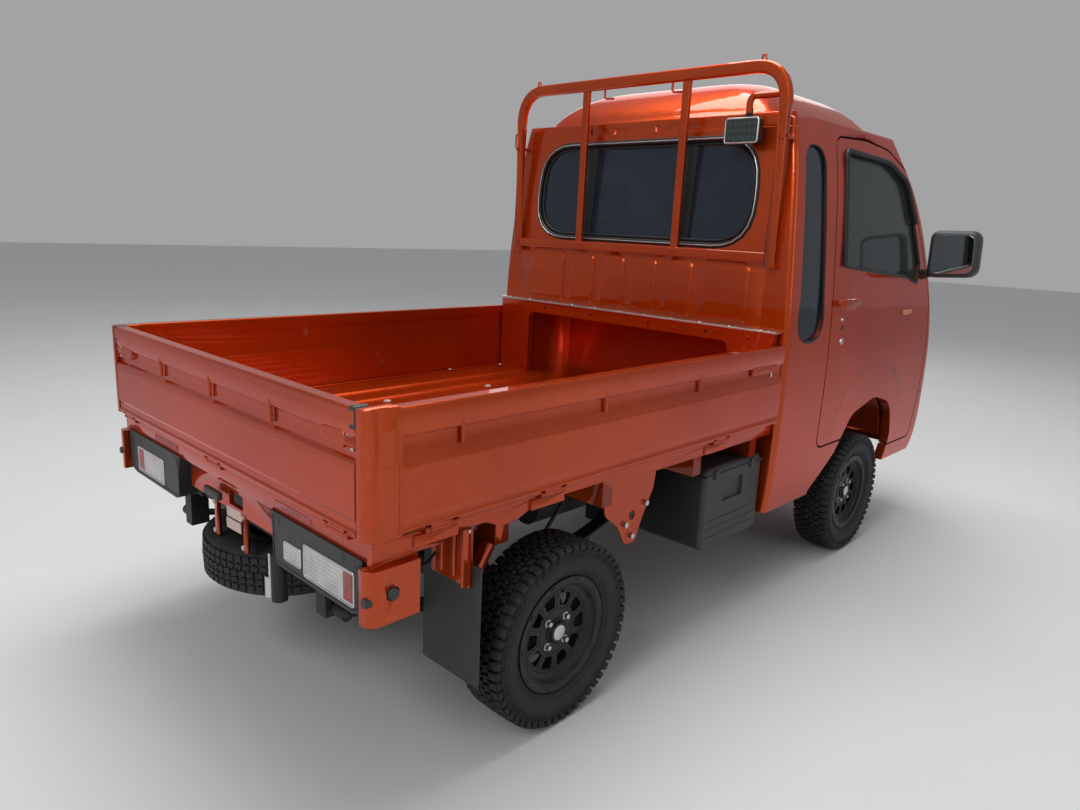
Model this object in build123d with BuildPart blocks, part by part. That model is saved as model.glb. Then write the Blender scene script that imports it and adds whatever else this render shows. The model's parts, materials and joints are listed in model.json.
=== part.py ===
from build123d import *
import math
import os

os.makedirs("parts", exist_ok=True)

# A small cab-over truck with an extended cab and a three-way drop-side bed.
# Millimetres. The nose points to -Y, +X is the vehicle's left, the ground is z = 0.

# Overall sizes
length = 3395.0
width = 1475.0
wheelbase = 1900.0
rear_overhang = 635.0
nose_y = -length / 2
tail_y = length / 2
rear_axle_y = tail_y - rear_overhang
front_axle_y = rear_axle_y - wheelbase
half_width = width / 2

# Wheels and tyres
tyre_radius = 266.0
tyre_width = 146.0
tyre_outer_x = 742.0
rim_flange_radius = 167.0
rim_barrel_radius = 150.0
rim_width = 118.0
rim_wall = 7.0
rim_window_count = 10
drum_radius = 96.0
drum_inner_x = 590.0
drum_outer_x = 640.0
spindle_radius = 20.0
spindle_end_x = 697.0
running_fit = 0.05
clear = 5.0
wheel_x = tyre_outer_x - tyre_width / 2
hub_z = tyre_radius

# Steering
kingpin_x = 560.0
kingpin_radius = 12.0
knuckle_half_height = 70.0
upper_pin_length = 50.0
lower_pin_length = 44.0

# Ladder frame
rail_x = 345.0
rail_width = 60.0
rail_height = 95.0
bed_rail_top = 590.0
cab_rail_top = 450.0
rail_rear_y = 1600.0
rail_outer_x = rail_x + rail_width / 2
rail_inner_x = rail_x - rail_width / 2
bed_rail_bottom = bed_rail_top - rail_height
cab_rail_bottom = cab_rail_top - rail_height

# Bed
deck_z = 700.0
deck_thickness = 8.0
rib_height = 7.0
rib_width = 70.0
rib_pitch = 140.0
gate_thickness = 32.5
gate_top = 985.0
gate_bottom = 703.0
gate_front_y = -47.0
pin_inset = 9.5
pin_z = 697.0
pin_radius = 4.0
eye_radius = 8.5
eye_length = 60.0
ear_length = 12.0
ear_gap = 2.0
panel_gap = 6.0
rail_inset = 16.0
sill_bottom = 655.0
corner_width = 44.5
corner_depth = 84.0
beam_y = -14.5
beam_depth = 35.5
beam_top = 1024.0
beam_bottom = 977.0
shelf_half_width = 520.0
shelf_front_y = -305.0
sheet = 12.0
pin_x = half_width - pin_inset
tail_pin_y = tail_y - pin_inset
gate_inner_x = half_width - gate_thickness
tail_inner_y = tail_y - gate_thickness
deck_half_width = gate_inner_x - panel_gap
deck_rear_y = tail_inner_y - panel_gap
corner_inner_x = half_width - corner_width
corner_front_y = tail_y - corner_depth
tailgate_half = corner_inner_x - panel_gap
side_rail_x = pin_x - rail_inset
rear_sill_y = tail_pin_y - rail_inset
deck_bottom = deck_z - deck_thickness
beam_front_y = beam_y - beam_depth

# Cab shell
cab_rear_y = -60.0
cab_bottom = 345.0
cab_wall = 40.0
front_bow = 30.0
rear_corner = 22.0
floor_z = 550.0
floor_sheet = 25.0
floor_half_width = 680.0
well_half_width = 430.0
well_front_y = -1240.0
seat_base_front_y = -860.0
seat_base_top = 780.0
shelf_z = 1000.0
bulkhead_y = shelf_front_y - 25.0
roof_split_z = 1740.0
side_split_y = -800.0
bumper_top = 640.0
seam = 4.0

# Doors
door_front_y = -1530.0
door_rear_y = -415.0
door_gap = 8.0
hinge_back = 10.0
hinge_in = 8.0
hinge_rows = (676.0, 905.0)
hinge_pin_radius = 5.0
hinge_pin_reach = 29.0
hinge_arm_half = 6.0
hinge_x = half_width - hinge_in
hinge_y = door_front_y + hinge_back
hinge_leg_inner = 674.0
hinge_leg_outer = 690.0
hinge_root_outer = 700.0
hinge_root_y = -1590.0
door_skin = 1.0
glass_inset = 12.0
glass_thickness = 5.0

sides = (("left", 1), ("right", -1))


def side_plane(x):
    """A plane seen from the vehicle's left, with sketch axes Y and Z."""
    return Plane((x, 0, 0), x_dir=(0, 1, 0), z_dir=(1, 0, 0))


def cross_plane(y):
    """A plane across the vehicle, with sketch axes X and Z, whose normal points to the nose."""
    return Plane((0, y, 0), x_dir=(1, 0, 0), z_dir=(0, -1, 0))


def slab(x0, x1, y0, y1, z0, z1, mode=Mode.ADD):
    """A rectangular block between three pairs of limits, added to the part being built."""
    with Locations(((x0 + x1) / 2, (y0 + y1) / 2, (z0 + z1) / 2)):
        Box(abs(x1 - x0), abs(y1 - y0), abs(z1 - z0), mode=mode)


def rod(start, end, radius, mode=Mode.ADD):
    """A straight round bar from one point to another."""
    path = Vector(*end) - Vector(*start)
    with BuildSketch(Plane(origin=start, z_dir=path)) as disc:
        Circle(radius)
    extrude(disc.sketch, amount=path.length, mode=mode)


def outline(plane, corners):
    """A closed face from corners given as (across, up, bend radius)."""
    with BuildSketch(plane) as face:
        with BuildLine():
            Polyline(*[(a, b) for a, b, bend in corners], close=True)
        make_face()
        for a, b, bend in corners:
            if bend:
                fillet(face.vertices().sort_by_distance((a, b, 0))[0], bend)
    return face.sketch


def side_prism(corners, x0, x1, mode=Mode.ADD):
    """An outline in Y and Z, given depth from x0 to x1."""
    face = outline(side_plane(min(x0, x1)), corners)
    extrude(face, amount=abs(x1 - x0), mode=mode)


def cross_prism(corners, y0, y1, mode=Mode.ADD):
    """An outline in X and Z, given depth between two places along the vehicle."""
    face = outline(cross_plane(max(y0, y1)), corners)
    extrude(face, amount=abs(y1 - y0), mode=mode)


def plan_prism(corners, z0, z1, mode=Mode.ADD):
    """An outline in X and Y, given height from z0 to z1."""
    face = outline(Plane.XY.offset(z0), corners)
    extrude(face, amount=z1 - z0, mode=mode)


def side_cutter(corners, amount, x0, x1):
    """An outline in Y and Z, grown by amount, as a separate solid from x0 to x1."""
    face = outline(side_plane(min(x0, x1)), corners)
    if amount:
        face = offset(face, amount=amount, kind=Kind.INTERSECTION)
    return extrude(face, amount=abs(x1 - x0), mode=Mode.PRIVATE)


def cross_cutter(corners, y0, y1):
    """An outline in X and Z, as a separate solid from y0 to y1."""
    return extrude(outline(cross_plane(max(y0, y1)), corners), amount=abs(y1 - y0), mode=Mode.PRIVATE)


def block(x0, x1, y0, y1, z0, z1):
    """A rectangular block between three pairs of limits, as a separate solid."""
    middle = Pos((x0 + x1) / 2, (y0 + y1) / 2, (z0 + z1) / 2)
    return middle * Box(abs(x1 - x0), abs(y1 - y0), abs(z1 - z0), mode=Mode.PRIVATE)


def both_sides(corners, amount, x0, x1):
    """An outline in Y and Z cut through both flanks, from x0 out to x1."""
    return side_cutter(corners, amount, x0, x1) + side_cutter(corners, amount, -x1, -x0)


def save(built, name):
    """Writes one named piece."""
    built.part.label = name
    export_step(built.part, "parts/" + name + ".step")


# Plan sections of the cab, from its lower edge to the roof rail.
# Columns: z, half width, rear y, front y at the middle, corner radius.
cab_half = half_width - 1.5
cab_levels = (
    (cab_bottom, cab_half - 16, cab_rear_y, nose_y + 48, 92),
    (460, cab_half - 5, cab_rear_y, nose_y + 6, 95),
    (650, cab_half, cab_rear_y, nose_y + 0.6, 95),
    (930, cab_half, cab_rear_y, nose_y + 26, 95),
    (1200, cab_half - 13, cab_rear_y - 2, nose_y + 118, 95),
    (1488, cab_half - 39, cab_rear_y - 15, nose_y + 293, 90),
    (1690, cab_half - 68, cab_rear_y - 28, nose_y + 498, 85),
    (1790, cab_half - 94, cab_rear_y - 35, nose_y + 598, 80),
)

# Plan sections of the raised roof. Columns: z, half width, rear y, front y, corner radius.
roof_levels = (
    (1786, 552, cab_rear_y - 36, nose_y + 606, 80),
    (1880, 470, cab_rear_y - 110, nose_y + 658, 110),
    (1930, 380, cab_rear_y - 210, nose_y + 778, 140),
    (1948, 250, cab_rear_y - 340, nose_y + 918, 120),
)


def plan_section(z, half, rear, front, corner, bow, back_corner):
    """A plan outline with round corners and a bowed front edge."""
    k = math.sqrt(0.5)
    flank = front + bow
    with BuildSketch(Plane.XY.offset(z)) as face:
        with BuildLine():
            Line((-half + back_corner, rear), (half - back_corner, rear))
            ThreePointArc(
                (half - back_corner, rear),
                (half - back_corner * (1 - k), rear - back_corner * (1 - k)),
                (half, rear - back_corner),
            )
            Line((half, rear - back_corner), (half, flank + corner))
            ThreePointArc(
                (half, flank + corner),
                (half - corner * (1 - k), flank + corner * (1 - k)),
                (half - corner, flank),
            )
            ThreePointArc((half - corner, flank), (0, front), (-half + corner, flank))
            ThreePointArc(
                (-half + corner, flank),
                (-half + corner * (1 - k), flank + corner * (1 - k)),
                (-half, flank + corner),
            )
            Line((-half, flank + corner), (-half, rear - back_corner))
            ThreePointArc(
                (-half, rear - back_corner),
                (-half + back_corner * (1 - k), rear - back_corner * (1 - k)),
                (-half + back_corner, rear),
            )
        make_face()
    return face.sketch.face()


def cab_form(inset):
    """The whole cab as one solid, drawn in from its outer skin by inset."""
    lower = []
    for z, half, rear, front, corner in cab_levels:
        lower.append(
            plan_section(z, half - inset, rear - inset, front + inset,
                         corner - inset / 2, front_bow, max(rear_corner - inset, 6))
        )
    upper = []
    for z, half, rear, front, corner in roof_levels:
        upper.append(
            plan_section(z - inset, half - inset, rear - inset, front + inset,
                         corner - inset / 2, front_bow, corner - inset / 2)
        )
    top = loft(upper)
    bottom = loft(lower)
    if inset:
        ceiling = cab_levels[-1][0] - inset
        bottom = bottom - block(-width, width, nose_y, tail_y, ceiling, ceiling + length)
    return bottom + top


# The front wheel arch, seen from the side. Columns: y, z, bend radius.
arch_corners = (
    (-412, 300, 0),
    (-412, 362, 0),
    (-600, 490, 40),
    (-730, 640, 120),
    (-960, 690, 160),
    (-1165, 640, 140),
    (-1232, 470, 160),
    (-1195, 300, 0),
)

# The door's edge, seen from the side. Columns: y, z, bend radius.
door_corners = (
    (door_rear_y, 545, 45),
    (door_rear_y, 1735, 55),
    (-700, 1750, 400),
    (-930, 1735, 300),
    (-1165, 1650, 160),
    (-1300, 1420, 900),
    (-1425, 1225, 300),
    (-1505, 1080, 200),
    (door_front_y, 900, 300),
    (door_front_y, 660, 300),
    (-1490, 425, 30),
    (-1180, 425, 0),
    (-1100, 545, 0),
)

# The door's glass, seen from the side. Columns: y, z, bend radius.
pane_corners = (
    (-492, 1262, 25),
    (-492, 1698, 35),
    (-930, 1688, 250),
    (-1120, 1622, 110),
    (-1235, 1450, 700),
    (-1330, 1270, 20),
    (-1310, 1180, 25),
    (-1180, 1212, 100),
)

# The tall window behind the door. Columns: y, z, bend radius.
quarter_corners = (
    (-133, 985, 88),
    (-150, 1690, 70),
    (-318, 1690, 74),
    (-340, 985, 95),
)

# The rear window, the windscreen and the left headlamp, seen from behind. Columns: x, z, bend radius.
rear_window_corners = (
    (-548, 1318, 165),
    (-535, 1708, 170),
    (535, 1708, 170),
    (548, 1318, 165),
)
screen_corners = (
    (-652, 1222, 60),
    (-588, 1722, 70),
    (588, 1722, 70),
    (652, 1222, 60),
)
lamp_corners = (
    (430, 705, 25),
    (436, 812, 40),
    (600, 870, 30),
    (714, 880, 20),
    (716, 730, 30),
)

# Pressed panels of the rear wall under its window, and the vents over it, on one half.
# Columns: inner x, outer x.
press_rows = (
    (22, 142),
    (187, 313),
    (358, 560),
)
press_proud = 6.0
press_low = 1046.0
press_high = 1254.0
press_bend = 24.0
vent_rows = (
    (62, 145),
    (190, 275),
)
vent_low = 1744.0
vent_high = 1768.0
vent_floor_y = -99.0

cab_skin = cab_form(0)
pressed_skin = cab_form(-press_proud)
cab_inside = cab_form(cab_wall)
glass_outer = cab_form(glass_inset)
glass_inner = cab_form(glass_inset + glass_thickness)
cab_shell = cab_skin - cab_inside
glass_skin = glass_outer - glass_inner

panels = []
for inner, outer in press_rows:
    for sign in (1, -1):
        corners = [
            (sign * inner, press_low, press_bend / 2),
            (sign * inner, press_high, press_bend),
            (sign * outer, press_high, press_bend),
            (sign * outer, press_low, press_bend / 2),
        ]
        panels.append(pressed_skin & cross_cutter(corners, -130, 0))
rear_doorway = block(-shelf_half_width, shelf_half_width, -150, 0, 300, beam_bottom)
wheel_arches = both_sides(arch_corners, 0, well_half_width, 800)
doorways = both_sides(door_corners, door_gap, 560, 800)
quarter_holes = side_cutter(quarter_corners, 0, -800, 800)
rear_hole = cross_cutter(rear_window_corners, -200, 0)
screen_hole = cross_cutter(screen_corners, -1700, -1000)
lamp_holes = cross_cutter(lamp_corners, nose_y - 50, door_front_y - 20)
lamp_holes = lamp_holes + mirror(lamp_holes, about=Plane.YZ)
cab_body = cab_shell - rear_doorway - wheel_arches - doorways
cab_body = cab_body - quarter_holes - rear_hole - screen_hole

# The roof, with the heads of both door frames
with BuildPart() as cab_roof:
    add(cab_body)
    slab(-800, 800, nose_y - 50, 0, 200, roof_split_z, mode=Mode.SUBTRACT)
    for inner, outer in vent_rows:
        for sign in (1, -1):
            slab(sign * inner, sign * outer, vent_floor_y, 0, vent_low, vent_high, mode=Mode.SUBTRACT)
save(cab_roof, "cab_roof")

# The rear wall with its window and the opening over the bed's forward end
with BuildPart() as cab_rear_wall:
    add(cab_body)
    slab(-800, 800, nose_y - 50, -130, 200, 2100, mode=Mode.SUBTRACT)
    slab(-800, -620, -300, 0, 200, 2100, mode=Mode.SUBTRACT)
    slab(620, 800, -300, 0, 200, 2100, mode=Mode.SUBTRACT)
    slab(-800, 800, -300, 0, roof_split_z, 2100, mode=Mode.SUBTRACT)
    for panel in panels:
        add(panel)
    add(cab_inside, mode=Mode.SUBTRACT)
save(cab_rear_wall, "cab_rear_wall")

# The front panel with the windscreen frame and both pillars
with BuildPart() as cab_front:
    add(cab_body)
    slab(-800, 800, side_split_y, 0, 200, 2100, mode=Mode.SUBTRACT)
    slab(-800, 800, nose_y - 50, 0, roof_split_z, 2100, mode=Mode.SUBTRACT)
    slab(-800, 800, nose_y - 50, 0, 200, bumper_top + seam, mode=Mode.SUBTRACT)
    add(lamp_holes, mode=Mode.SUBTRACT)
    for z in hinge_rows:
        low = z - hinge_arm_half
        high = z + hinge_arm_half
        for sign in (1, -1):
            slab(sign * hinge_leg_inner, sign * hinge_root_outer, hinge_root_y,
                 door_front_y - door_gap - 3, low, high)
            slab(sign * hinge_leg_inner, sign * hinge_leg_outer, door_front_y - door_gap - 7,
                 hinge_y + hinge_pin_radius, low, high)
            slab(sign * hinge_leg_inner, sign * hinge_x, hinge_y - hinge_pin_radius,
                 hinge_y + hinge_pin_radius, low, high)
            rod((sign * hinge_x, hinge_y, z - hinge_pin_reach),
                (sign * hinge_x, hinge_y, z + hinge_pin_reach), hinge_pin_radius)
save(cab_front, "cab_front")

# The bumper, which runs back along the step under each door, with its air intake
intake_half = 280.0
intake_low = 425.0
intake_high = 515.0
intake_rear_y = -1600.0
intake_bars = (450.0, 482.0)
intake_bar_height = 8.0
intake_bar_front_y = -1681.0
intake_bar_depth = 22.0
with BuildPart() as front_bumper:
    add(cab_body)
    slab(-800, 800, side_split_y, 0, 200, 2100, mode=Mode.SUBTRACT)
    slab(-800, 800, nose_y - 50, 0, bumper_top, 2100, mode=Mode.SUBTRACT)
    slab(-intake_half, intake_half, nose_y - 50, intake_rear_y, intake_low, intake_high,
         mode=Mode.SUBTRACT)
    for z in intake_bars:
        slab(-intake_half - 2, intake_half + 2, intake_bar_front_y, intake_bar_front_y + intake_bar_depth,
             z, z + intake_bar_height)
save(front_bumper, "front_bumper")

# Rear quarter panels, each with its tall window
for name, sign in sides:
    with BuildPart() as cab_side:
        add(cab_body)
        slab(-sign * 900, sign * 620, nose_y - 50, 100, 200, 2100, mode=Mode.SUBTRACT)
        slab(-800, 800, nose_y - 50, side_split_y, 200, 2100, mode=Mode.SUBTRACT)
        slab(-800, 800, nose_y - 50, 0, roof_split_z, 2100, mode=Mode.SUBTRACT)
    save(cab_side, "cab_side_" + name)

# Doors, hung at their front edge on the pins of the front panel, each with a bowed pull handle
handle_root_x = 725.0
handle_grip_x = 747.0
handle_out_x = 757.0
handle_front_y = -612.0
handle_rear_y = -466.0
handle_low = 1108.0
handle_high = 1134.0
handle_end = 22.0
for name, sign in sides:
    near = min(sign * 560, sign * 800)
    with BuildPart() as door:
        add(cab_shell)
        add(side_cutter(door_corners, 0, near, near + 240), mode=Mode.INTERSECT)
        add(wheel_arches, mode=Mode.SUBTRACT)
        add(side_cutter(pane_corners, 0, near, near + 240), mode=Mode.SUBTRACT)
        slab(sign * handle_root_x, sign * handle_out_x, handle_front_y, handle_rear_y, handle_low,
             handle_high)
        slab(sign * (half_width + 1), sign * handle_grip_x, handle_front_y + handle_end,
             handle_rear_y - handle_end, handle_low - 1, handle_high + 1, mode=Mode.SUBTRACT)
        for z in hinge_rows:
            slab(sign * 600, sign * (cab_half - door_skin), door_front_y - 20,
                 hinge_y + hinge_pin_radius + clear,
                 z - hinge_arm_half - clear, z + hinge_arm_half + clear, mode=Mode.SUBTRACT)
            rod((sign * hinge_x, hinge_y, z - hinge_pin_reach - 1),
                (sign * hinge_x, hinge_y, z + hinge_pin_reach + 1),
                hinge_pin_radius + running_fit, mode=Mode.SUBTRACT)
    save(door, "door_" + name)
    with BuildPart() as door_glass:
        add(glass_skin)
        add(side_cutter(pane_corners, 0, near, near + 240), mode=Mode.INTERSECT)
    save(door_glass, "door_glass_" + name)

# Fixed glass: windscreen, rear window and both tall side windows
with BuildPart() as cab_glass:
    add(glass_skin)
    add(quarter_holes + rear_hole + screen_hole, mode=Mode.INTERSECT)
save(cab_glass, "cab_glass")

with BuildPart() as headlamps:
    add(cab_shell)
    add(lamp_holes, mode=Mode.INTERSECT)
save(headlamps, "headlamps")

# Cab floor: toe board, wheelhouses, seat base, bulkhead and the shelf over the bed's forward end
arch_skin = both_sides(arch_corners, sheet, well_half_width - sheet, floor_half_width)
floor_x = well_half_width - sheet
shelf_side = shelf_half_width + sheet
with BuildPart() as cab_floor:
    slab(-floor_half_width, floor_half_width, nose_y, well_front_y, floor_z - floor_sheet, floor_z)
    slab(-floor_x, floor_x, well_front_y, seat_base_front_y, floor_z - floor_sheet, floor_z)
    add(arch_skin)
    slab(-floor_half_width, floor_half_width, -700, bulkhead_y, 460, floor_z - floor_sheet,
         mode=Mode.SUBTRACT)
    slab(-floor_half_width, floor_half_width, -1300, bulkhead_y, 300, 460, mode=Mode.SUBTRACT)
    slab(-floor_half_width, floor_half_width, seat_base_front_y, bulkhead_y,
         seat_base_top - sheet, seat_base_top)
    slab(-floor_half_width, floor_half_width, seat_base_front_y, seat_base_front_y + sheet,
         floor_z - floor_sheet, seat_base_top)
    slab(-750, 750, bulkhead_y, shelf_front_y, floor_z, shelf_z)
    slab(-750, 750, shelf_front_y, cab_rear_y, shelf_z - sheet, shelf_z)
    slab(-shelf_side, -shelf_half_width, shelf_front_y, cab_rear_y, deck_bottom, shelf_z)
    slab(shelf_half_width, shelf_side, shelf_front_y, cab_rear_y, deck_bottom, shelf_z)
    add(cab_inside, mode=Mode.INTERSECT)
    add(wheel_arches, mode=Mode.SUBTRACT)
save(cab_floor, "cab_floor")

# Dashboard with the steering column and wheel on the right
column_x = -350.0
column_foot = (column_x, -1330, 930)
column_head = (column_x, -1090, 1110)
hand_wheel_radius = 175.0
hand_wheel_rim = 14.0
column_radius = 28.0
dash_corners = (
    (nose_y, 760, 0),
    (nose_y, 1120, 0),
    (-1480, 1120, 0),
    (-1290, 1085, 40),
    (-1270, 960, 40),
    (-1330, 800, 60),
    (-1400, 760, 0),
)
with BuildPart() as dashboard:
    side_prism(dash_corners, -floor_half_width + 10, floor_half_width - 10)
    rod(column_foot, column_head, column_radius)
    add(cab_inside, mode=Mode.INTERSECT)
    column_way = Vector(*column_head) - Vector(*column_foot)
    with Locations(Plane(origin=column_head, z_dir=column_way)):
        Torus(hand_wheel_radius, hand_wheel_rim)
        Box(2 * hand_wheel_radius, 34, 16)
        Cylinder(60, 30)
save(dashboard, "dashboard")

# Seats: cushion, back and headrest in one shape each
seat_inner_x = 130.0
seat_outer_x = 590.0
seat_lift = 0.3
seat_corners = (
    (-850, seat_base_top + seat_lift, 0),
    (-870, 850, 40),
    (-830, 890, 40),
    (-500, 868, 30),
    (-345, 1400, 0),
    (-350, 1560, 30),
    (-255, 1570, 30),
    (-240, 1400, 0),
    (bulkhead_y - 5, shelf_z + 15, 0),
    (bulkhead_y - 5, seat_base_top + seat_lift, 0),
)
with BuildPart() as seats:
    side_prism(seat_corners, seat_inner_x, seat_outer_x)
    side_prism(seat_corners, -seat_outer_x, -seat_inner_x)
save(seats, "seats")

# Guard frame behind the rear window, with two rope loops on top and four feet on the cab
guard_y = -40.0
guard_depth = 30.0
guard_foot_z = 1250.0
guard_top_z = 1955.0
guard_tube = 45.0
guard_half = 660.0
guard_bend = 155.0
mid_bar_z = 1270.0
mid_bar_height = 35.0
upright_width = 34.0
upright_x = (260.0, -232.0)
loop_x = 538.0
loop_half = 10.0
loop_wire = 4.0
loop_height = 18.0
foot_plate = 12.0
guard_front = guard_y - guard_depth / 2
guard_rear = guard_y + guard_depth / 2
guard_inner = guard_half - guard_tube


def hoop(half, top, bend):
    """Corners of an upside-down U, with its feet at the guard's foot."""
    return (
        (-half, guard_foot_z, 0),
        (-half, top, bend),
        (half, top, bend),
        (half, guard_foot_z, 0),
    )


with BuildPart() as guard_frame:
    cross_prism(hoop(guard_half, guard_top_z, guard_bend), guard_front, guard_rear)
    cross_prism(hoop(guard_inner, guard_top_z - guard_tube, guard_bend - guard_tube),
                guard_front, guard_rear, mode=Mode.SUBTRACT)
    slab(-guard_inner - 2, guard_inner + 2, guard_front, guard_rear, mid_bar_z,
         mid_bar_z + mid_bar_height)
    for x in upright_x:
        slab(x - upright_width / 2, x + upright_width / 2, guard_front + 6, guard_rear - 6,
             mid_bar_z, guard_top_z - guard_tube + 5)
    for sign in (1, -1):
        for z in (guard_foot_z, 1690):
            slab(sign * (guard_half - 30), sign * guard_half, cab_rear_y - 60, guard_y, z, z + foot_plate)
        for x in (loop_x - loop_half, loop_x + loop_half):
            rod((sign * x, guard_y, guard_top_z - 3), (sign * x, guard_y, guard_top_z + loop_height),
                loop_wire)
        rod((sign * (loop_x - loop_half - loop_wire), guard_y, guard_top_z + loop_height),
            (sign * (loop_x + loop_half + loop_wire), guard_y, guard_top_z + loop_height), loop_wire)
    add(cab_skin, mode=Mode.SUBTRACT)
save(guard_frame, "guard_frame")

# Work lamp hung inside the guard's right shoulder
lamp_left_x = -424.0
lamp_right_x = -561.0
lamp_low_z = 1675.0
lamp_high_z = 1765.0
lamp_arm_z = 1835.0
lamp_arm_x = -500.0
lamp_arm_radius = 13.0
with BuildPart() as work_lamp:
    slab(lamp_right_x, lamp_left_x, guard_front, 0, lamp_low_z, lamp_high_z)
    fillet(work_lamp.edges(), 12)
    rod((lamp_arm_x, guard_y, lamp_high_z - 10), (lamp_arm_x, guard_y, lamp_arm_z + lamp_arm_radius),
        lamp_arm_radius)
    rod((-guard_inner - 5, guard_y, lamp_arm_z), (lamp_arm_x, guard_y, lamp_arm_z), lamp_arm_radius)
    add(guard_frame.part, mode=Mode.SUBTRACT)
save(work_lamp, "work_lamp")

# Mirrors on the doors' front upper corners. The head's outline is seen from behind.
mirror_y = -1345.0
mirror_depth = 75.0
mirror_corners = (
    (755, 1212, 35),
    (752, 1425, 40),
    (960, 1430, 50),
    (967, 1225, 50),
)
mirror_arm_z = 1235.0
mirror_arm_radius = 17.0
with BuildPart() as mirror_left:
    cross_prism(mirror_corners, mirror_y - mirror_depth / 2, mirror_y + mirror_depth / 2)
    fillet(mirror_left.faces().sort_by(Axis.Y)[0].edges(), 25)
    rod((640, -1395, mirror_arm_z), (800, mirror_y, mirror_arm_z + 8), mirror_arm_radius)
    add(cab_skin, mode=Mode.SUBTRACT)
save(mirror_left, "mirror_left")
with BuildPart() as mirror_right:
    add(mirror(mirror_left.part, about=Plane.YZ))
save(mirror_right, "mirror_right")

# Ladder frame: two rails that drop under the cab, joined by cross members
rail_corners = (
    (rail_rear_y, bed_rail_bottom, 0),
    (rail_rear_y, bed_rail_top, 0),
    (-80, bed_rail_top, 60),
    (-240, cab_rail_top, 60),
    (-1560, cab_rail_top, 0),
    (-1560, cab_rail_bottom, 0),
    (-260, cab_rail_bottom, 60),
    (-110, bed_rail_bottom, 60),
)
# Columns: y, lower z, upper z, depth along the vehicle.
member_rows = (
    (-1520, cab_rail_bottom, cab_rail_top, 60),
    (-1080, cab_rail_bottom, cab_rail_top, 60),
    (40, bed_rail_bottom, bed_rail_top, 60),
    (420, bed_rail_bottom, bed_rail_top, 60),
    (880, bed_rail_bottom, bed_rail_top, 60),
    (1290, bed_rail_bottom, bed_rail_top, 60),
    (1560, bed_rail_bottom, bed_rail_top, 60),
)
with BuildPart() as frame_rails:
    side_prism(rail_corners, rail_inner_x, rail_outer_x)
    side_prism(rail_corners, -rail_outer_x, -rail_inner_x)
    for y, low, high, depth in member_rows:
        slab(-rail_x, rail_x, y - depth / 2, y + depth / 2, low, high)
save(frame_rails, "frame_rails")

# Bed floor with lengthwise ribs, and its narrower forward end under the cab's shelf
rib_half_count = 4
rib_front_y = 20.0
rib_rear_y = 1600.0
deck_notch_x = corner_inner_x - panel_gap
deck_notch_y = corner_front_y - panel_gap
deck_corners = (
    (-deck_half_width, beam_y, 0),
    (-deck_half_width, deck_notch_y, 0),
    (-deck_notch_x, deck_notch_y, 0),
    (-deck_notch_x, deck_rear_y, 0),
    (deck_notch_x, deck_rear_y, 0),
    (deck_notch_x, deck_notch_y, 0),
    (deck_half_width, deck_notch_y, 0),
    (deck_half_width, beam_y, 0),
    (shelf_half_width, beam_y, 0),
    (shelf_half_width, shelf_front_y, 0),
    (-shelf_half_width, shelf_front_y, 0),
    (-shelf_half_width, beam_y, 0),
)
with BuildPart() as bed_floor:
    plan_prism(deck_corners, deck_bottom, deck_z)
    for step in range(-rib_half_count, rib_half_count + 1):
        x = step * rib_pitch
        slab(x - rib_width / 2, x + rib_width / 2, rib_front_y, rib_rear_y, deck_z, deck_z + rib_height)
save(bed_floor, "bed_floor")

# Gate hinges. Side hinge places along the vehicle, tail hinge places across it.
side_hinge_y = (330.0, 1139.0, 1503.0)
tail_hinge_x = (-610.0, 0.0, 610.0)
ear_reach = eye_length / 2 + ear_gap + ear_length
notch_reach = ear_reach + clear
notch_top = pin_z + eye_radius + clear

# Bed frame: front bulkhead, cross members, side rails, rear sill, hinge ears and pins
cross_member_y = (60.0, 420.0, 880.0, 1290.0, 1570.0)
cross_member_depth = 45.0
side_rail_width = 28.0
side_rail_inner_x = side_rail_x - side_rail_width
beam_hole_radius = 5.5
beam_hole_z = 1000.0
beam_hole_inner = 304.0
beam_hole_outer = 846.0
trim_half_width = 713.0
trim_height = 8.0
bulkhead_corners = (
    (-deck_half_width, sill_bottom, 0),
    (-deck_half_width, beam_top, 0),
    (deck_half_width, beam_top, 0),
    (deck_half_width, sill_bottom, 0),
    (shelf_half_width, sill_bottom, 0),
    (shelf_half_width, beam_bottom, 30),
    (-shelf_half_width, beam_bottom, 30),
    (-shelf_half_width, sill_bottom, 0),
)
corner_bumper_inner = 693.0
corner_bumper_outer = 733.0
corner_bumper_front = 1560.0
corner_bumper_rear = 1693.0
corner_bumper_low = 508.0
corner_bumper_high = 637.0
corner_bumper_bend = 28.0
guard_plate_y = 1384.0
guard_plate_thickness = 8.0
cover_proud = 6.0
cover_half = 62.0
cover_low = 657.0
cover_high = 682.0
socket_y = 1632.0
socket_z = 575.0
socket_radius = 17.0
stay_x = (92.0, -80.0)
stay_low = 455.0
stay_y = 1648.0

# The side rail's skirt, which rises over the rear wheel. Columns: y, z, bend radius.
skirt_corners = (
    (beam_front_y, deck_bottom, 0),
    (beam_front_y, sill_bottom, 0),
    (760, sill_bottom, 60),
    (830, 671, 60),
    (1170, 671, 60),
    (1250, 640, 60),
    (1300, 640, 40),
    (1350, 662, 40),
    (1440, 662, 40),
    (1490, sill_bottom - 11, 40),
    (rear_sill_y, sill_bottom - 11, 0),
    (rear_sill_y, deck_bottom, 0),
)
# The pressed bracket between the rear wheel and its flap. Columns: y, z, bend radius.
mudguard_inner = 560.0
mudguard_ribs = (590.0, 650.0)
mudguard_rib = 18.0
mudguard_rib_rise = 4.0
mudguard_corners = (
    (1222, 672, 0),
    (1240, 672, 0),
    (1372, 500, 0),
    (1372, 462, 0),
    (1360, 470, 0),
)
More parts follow.
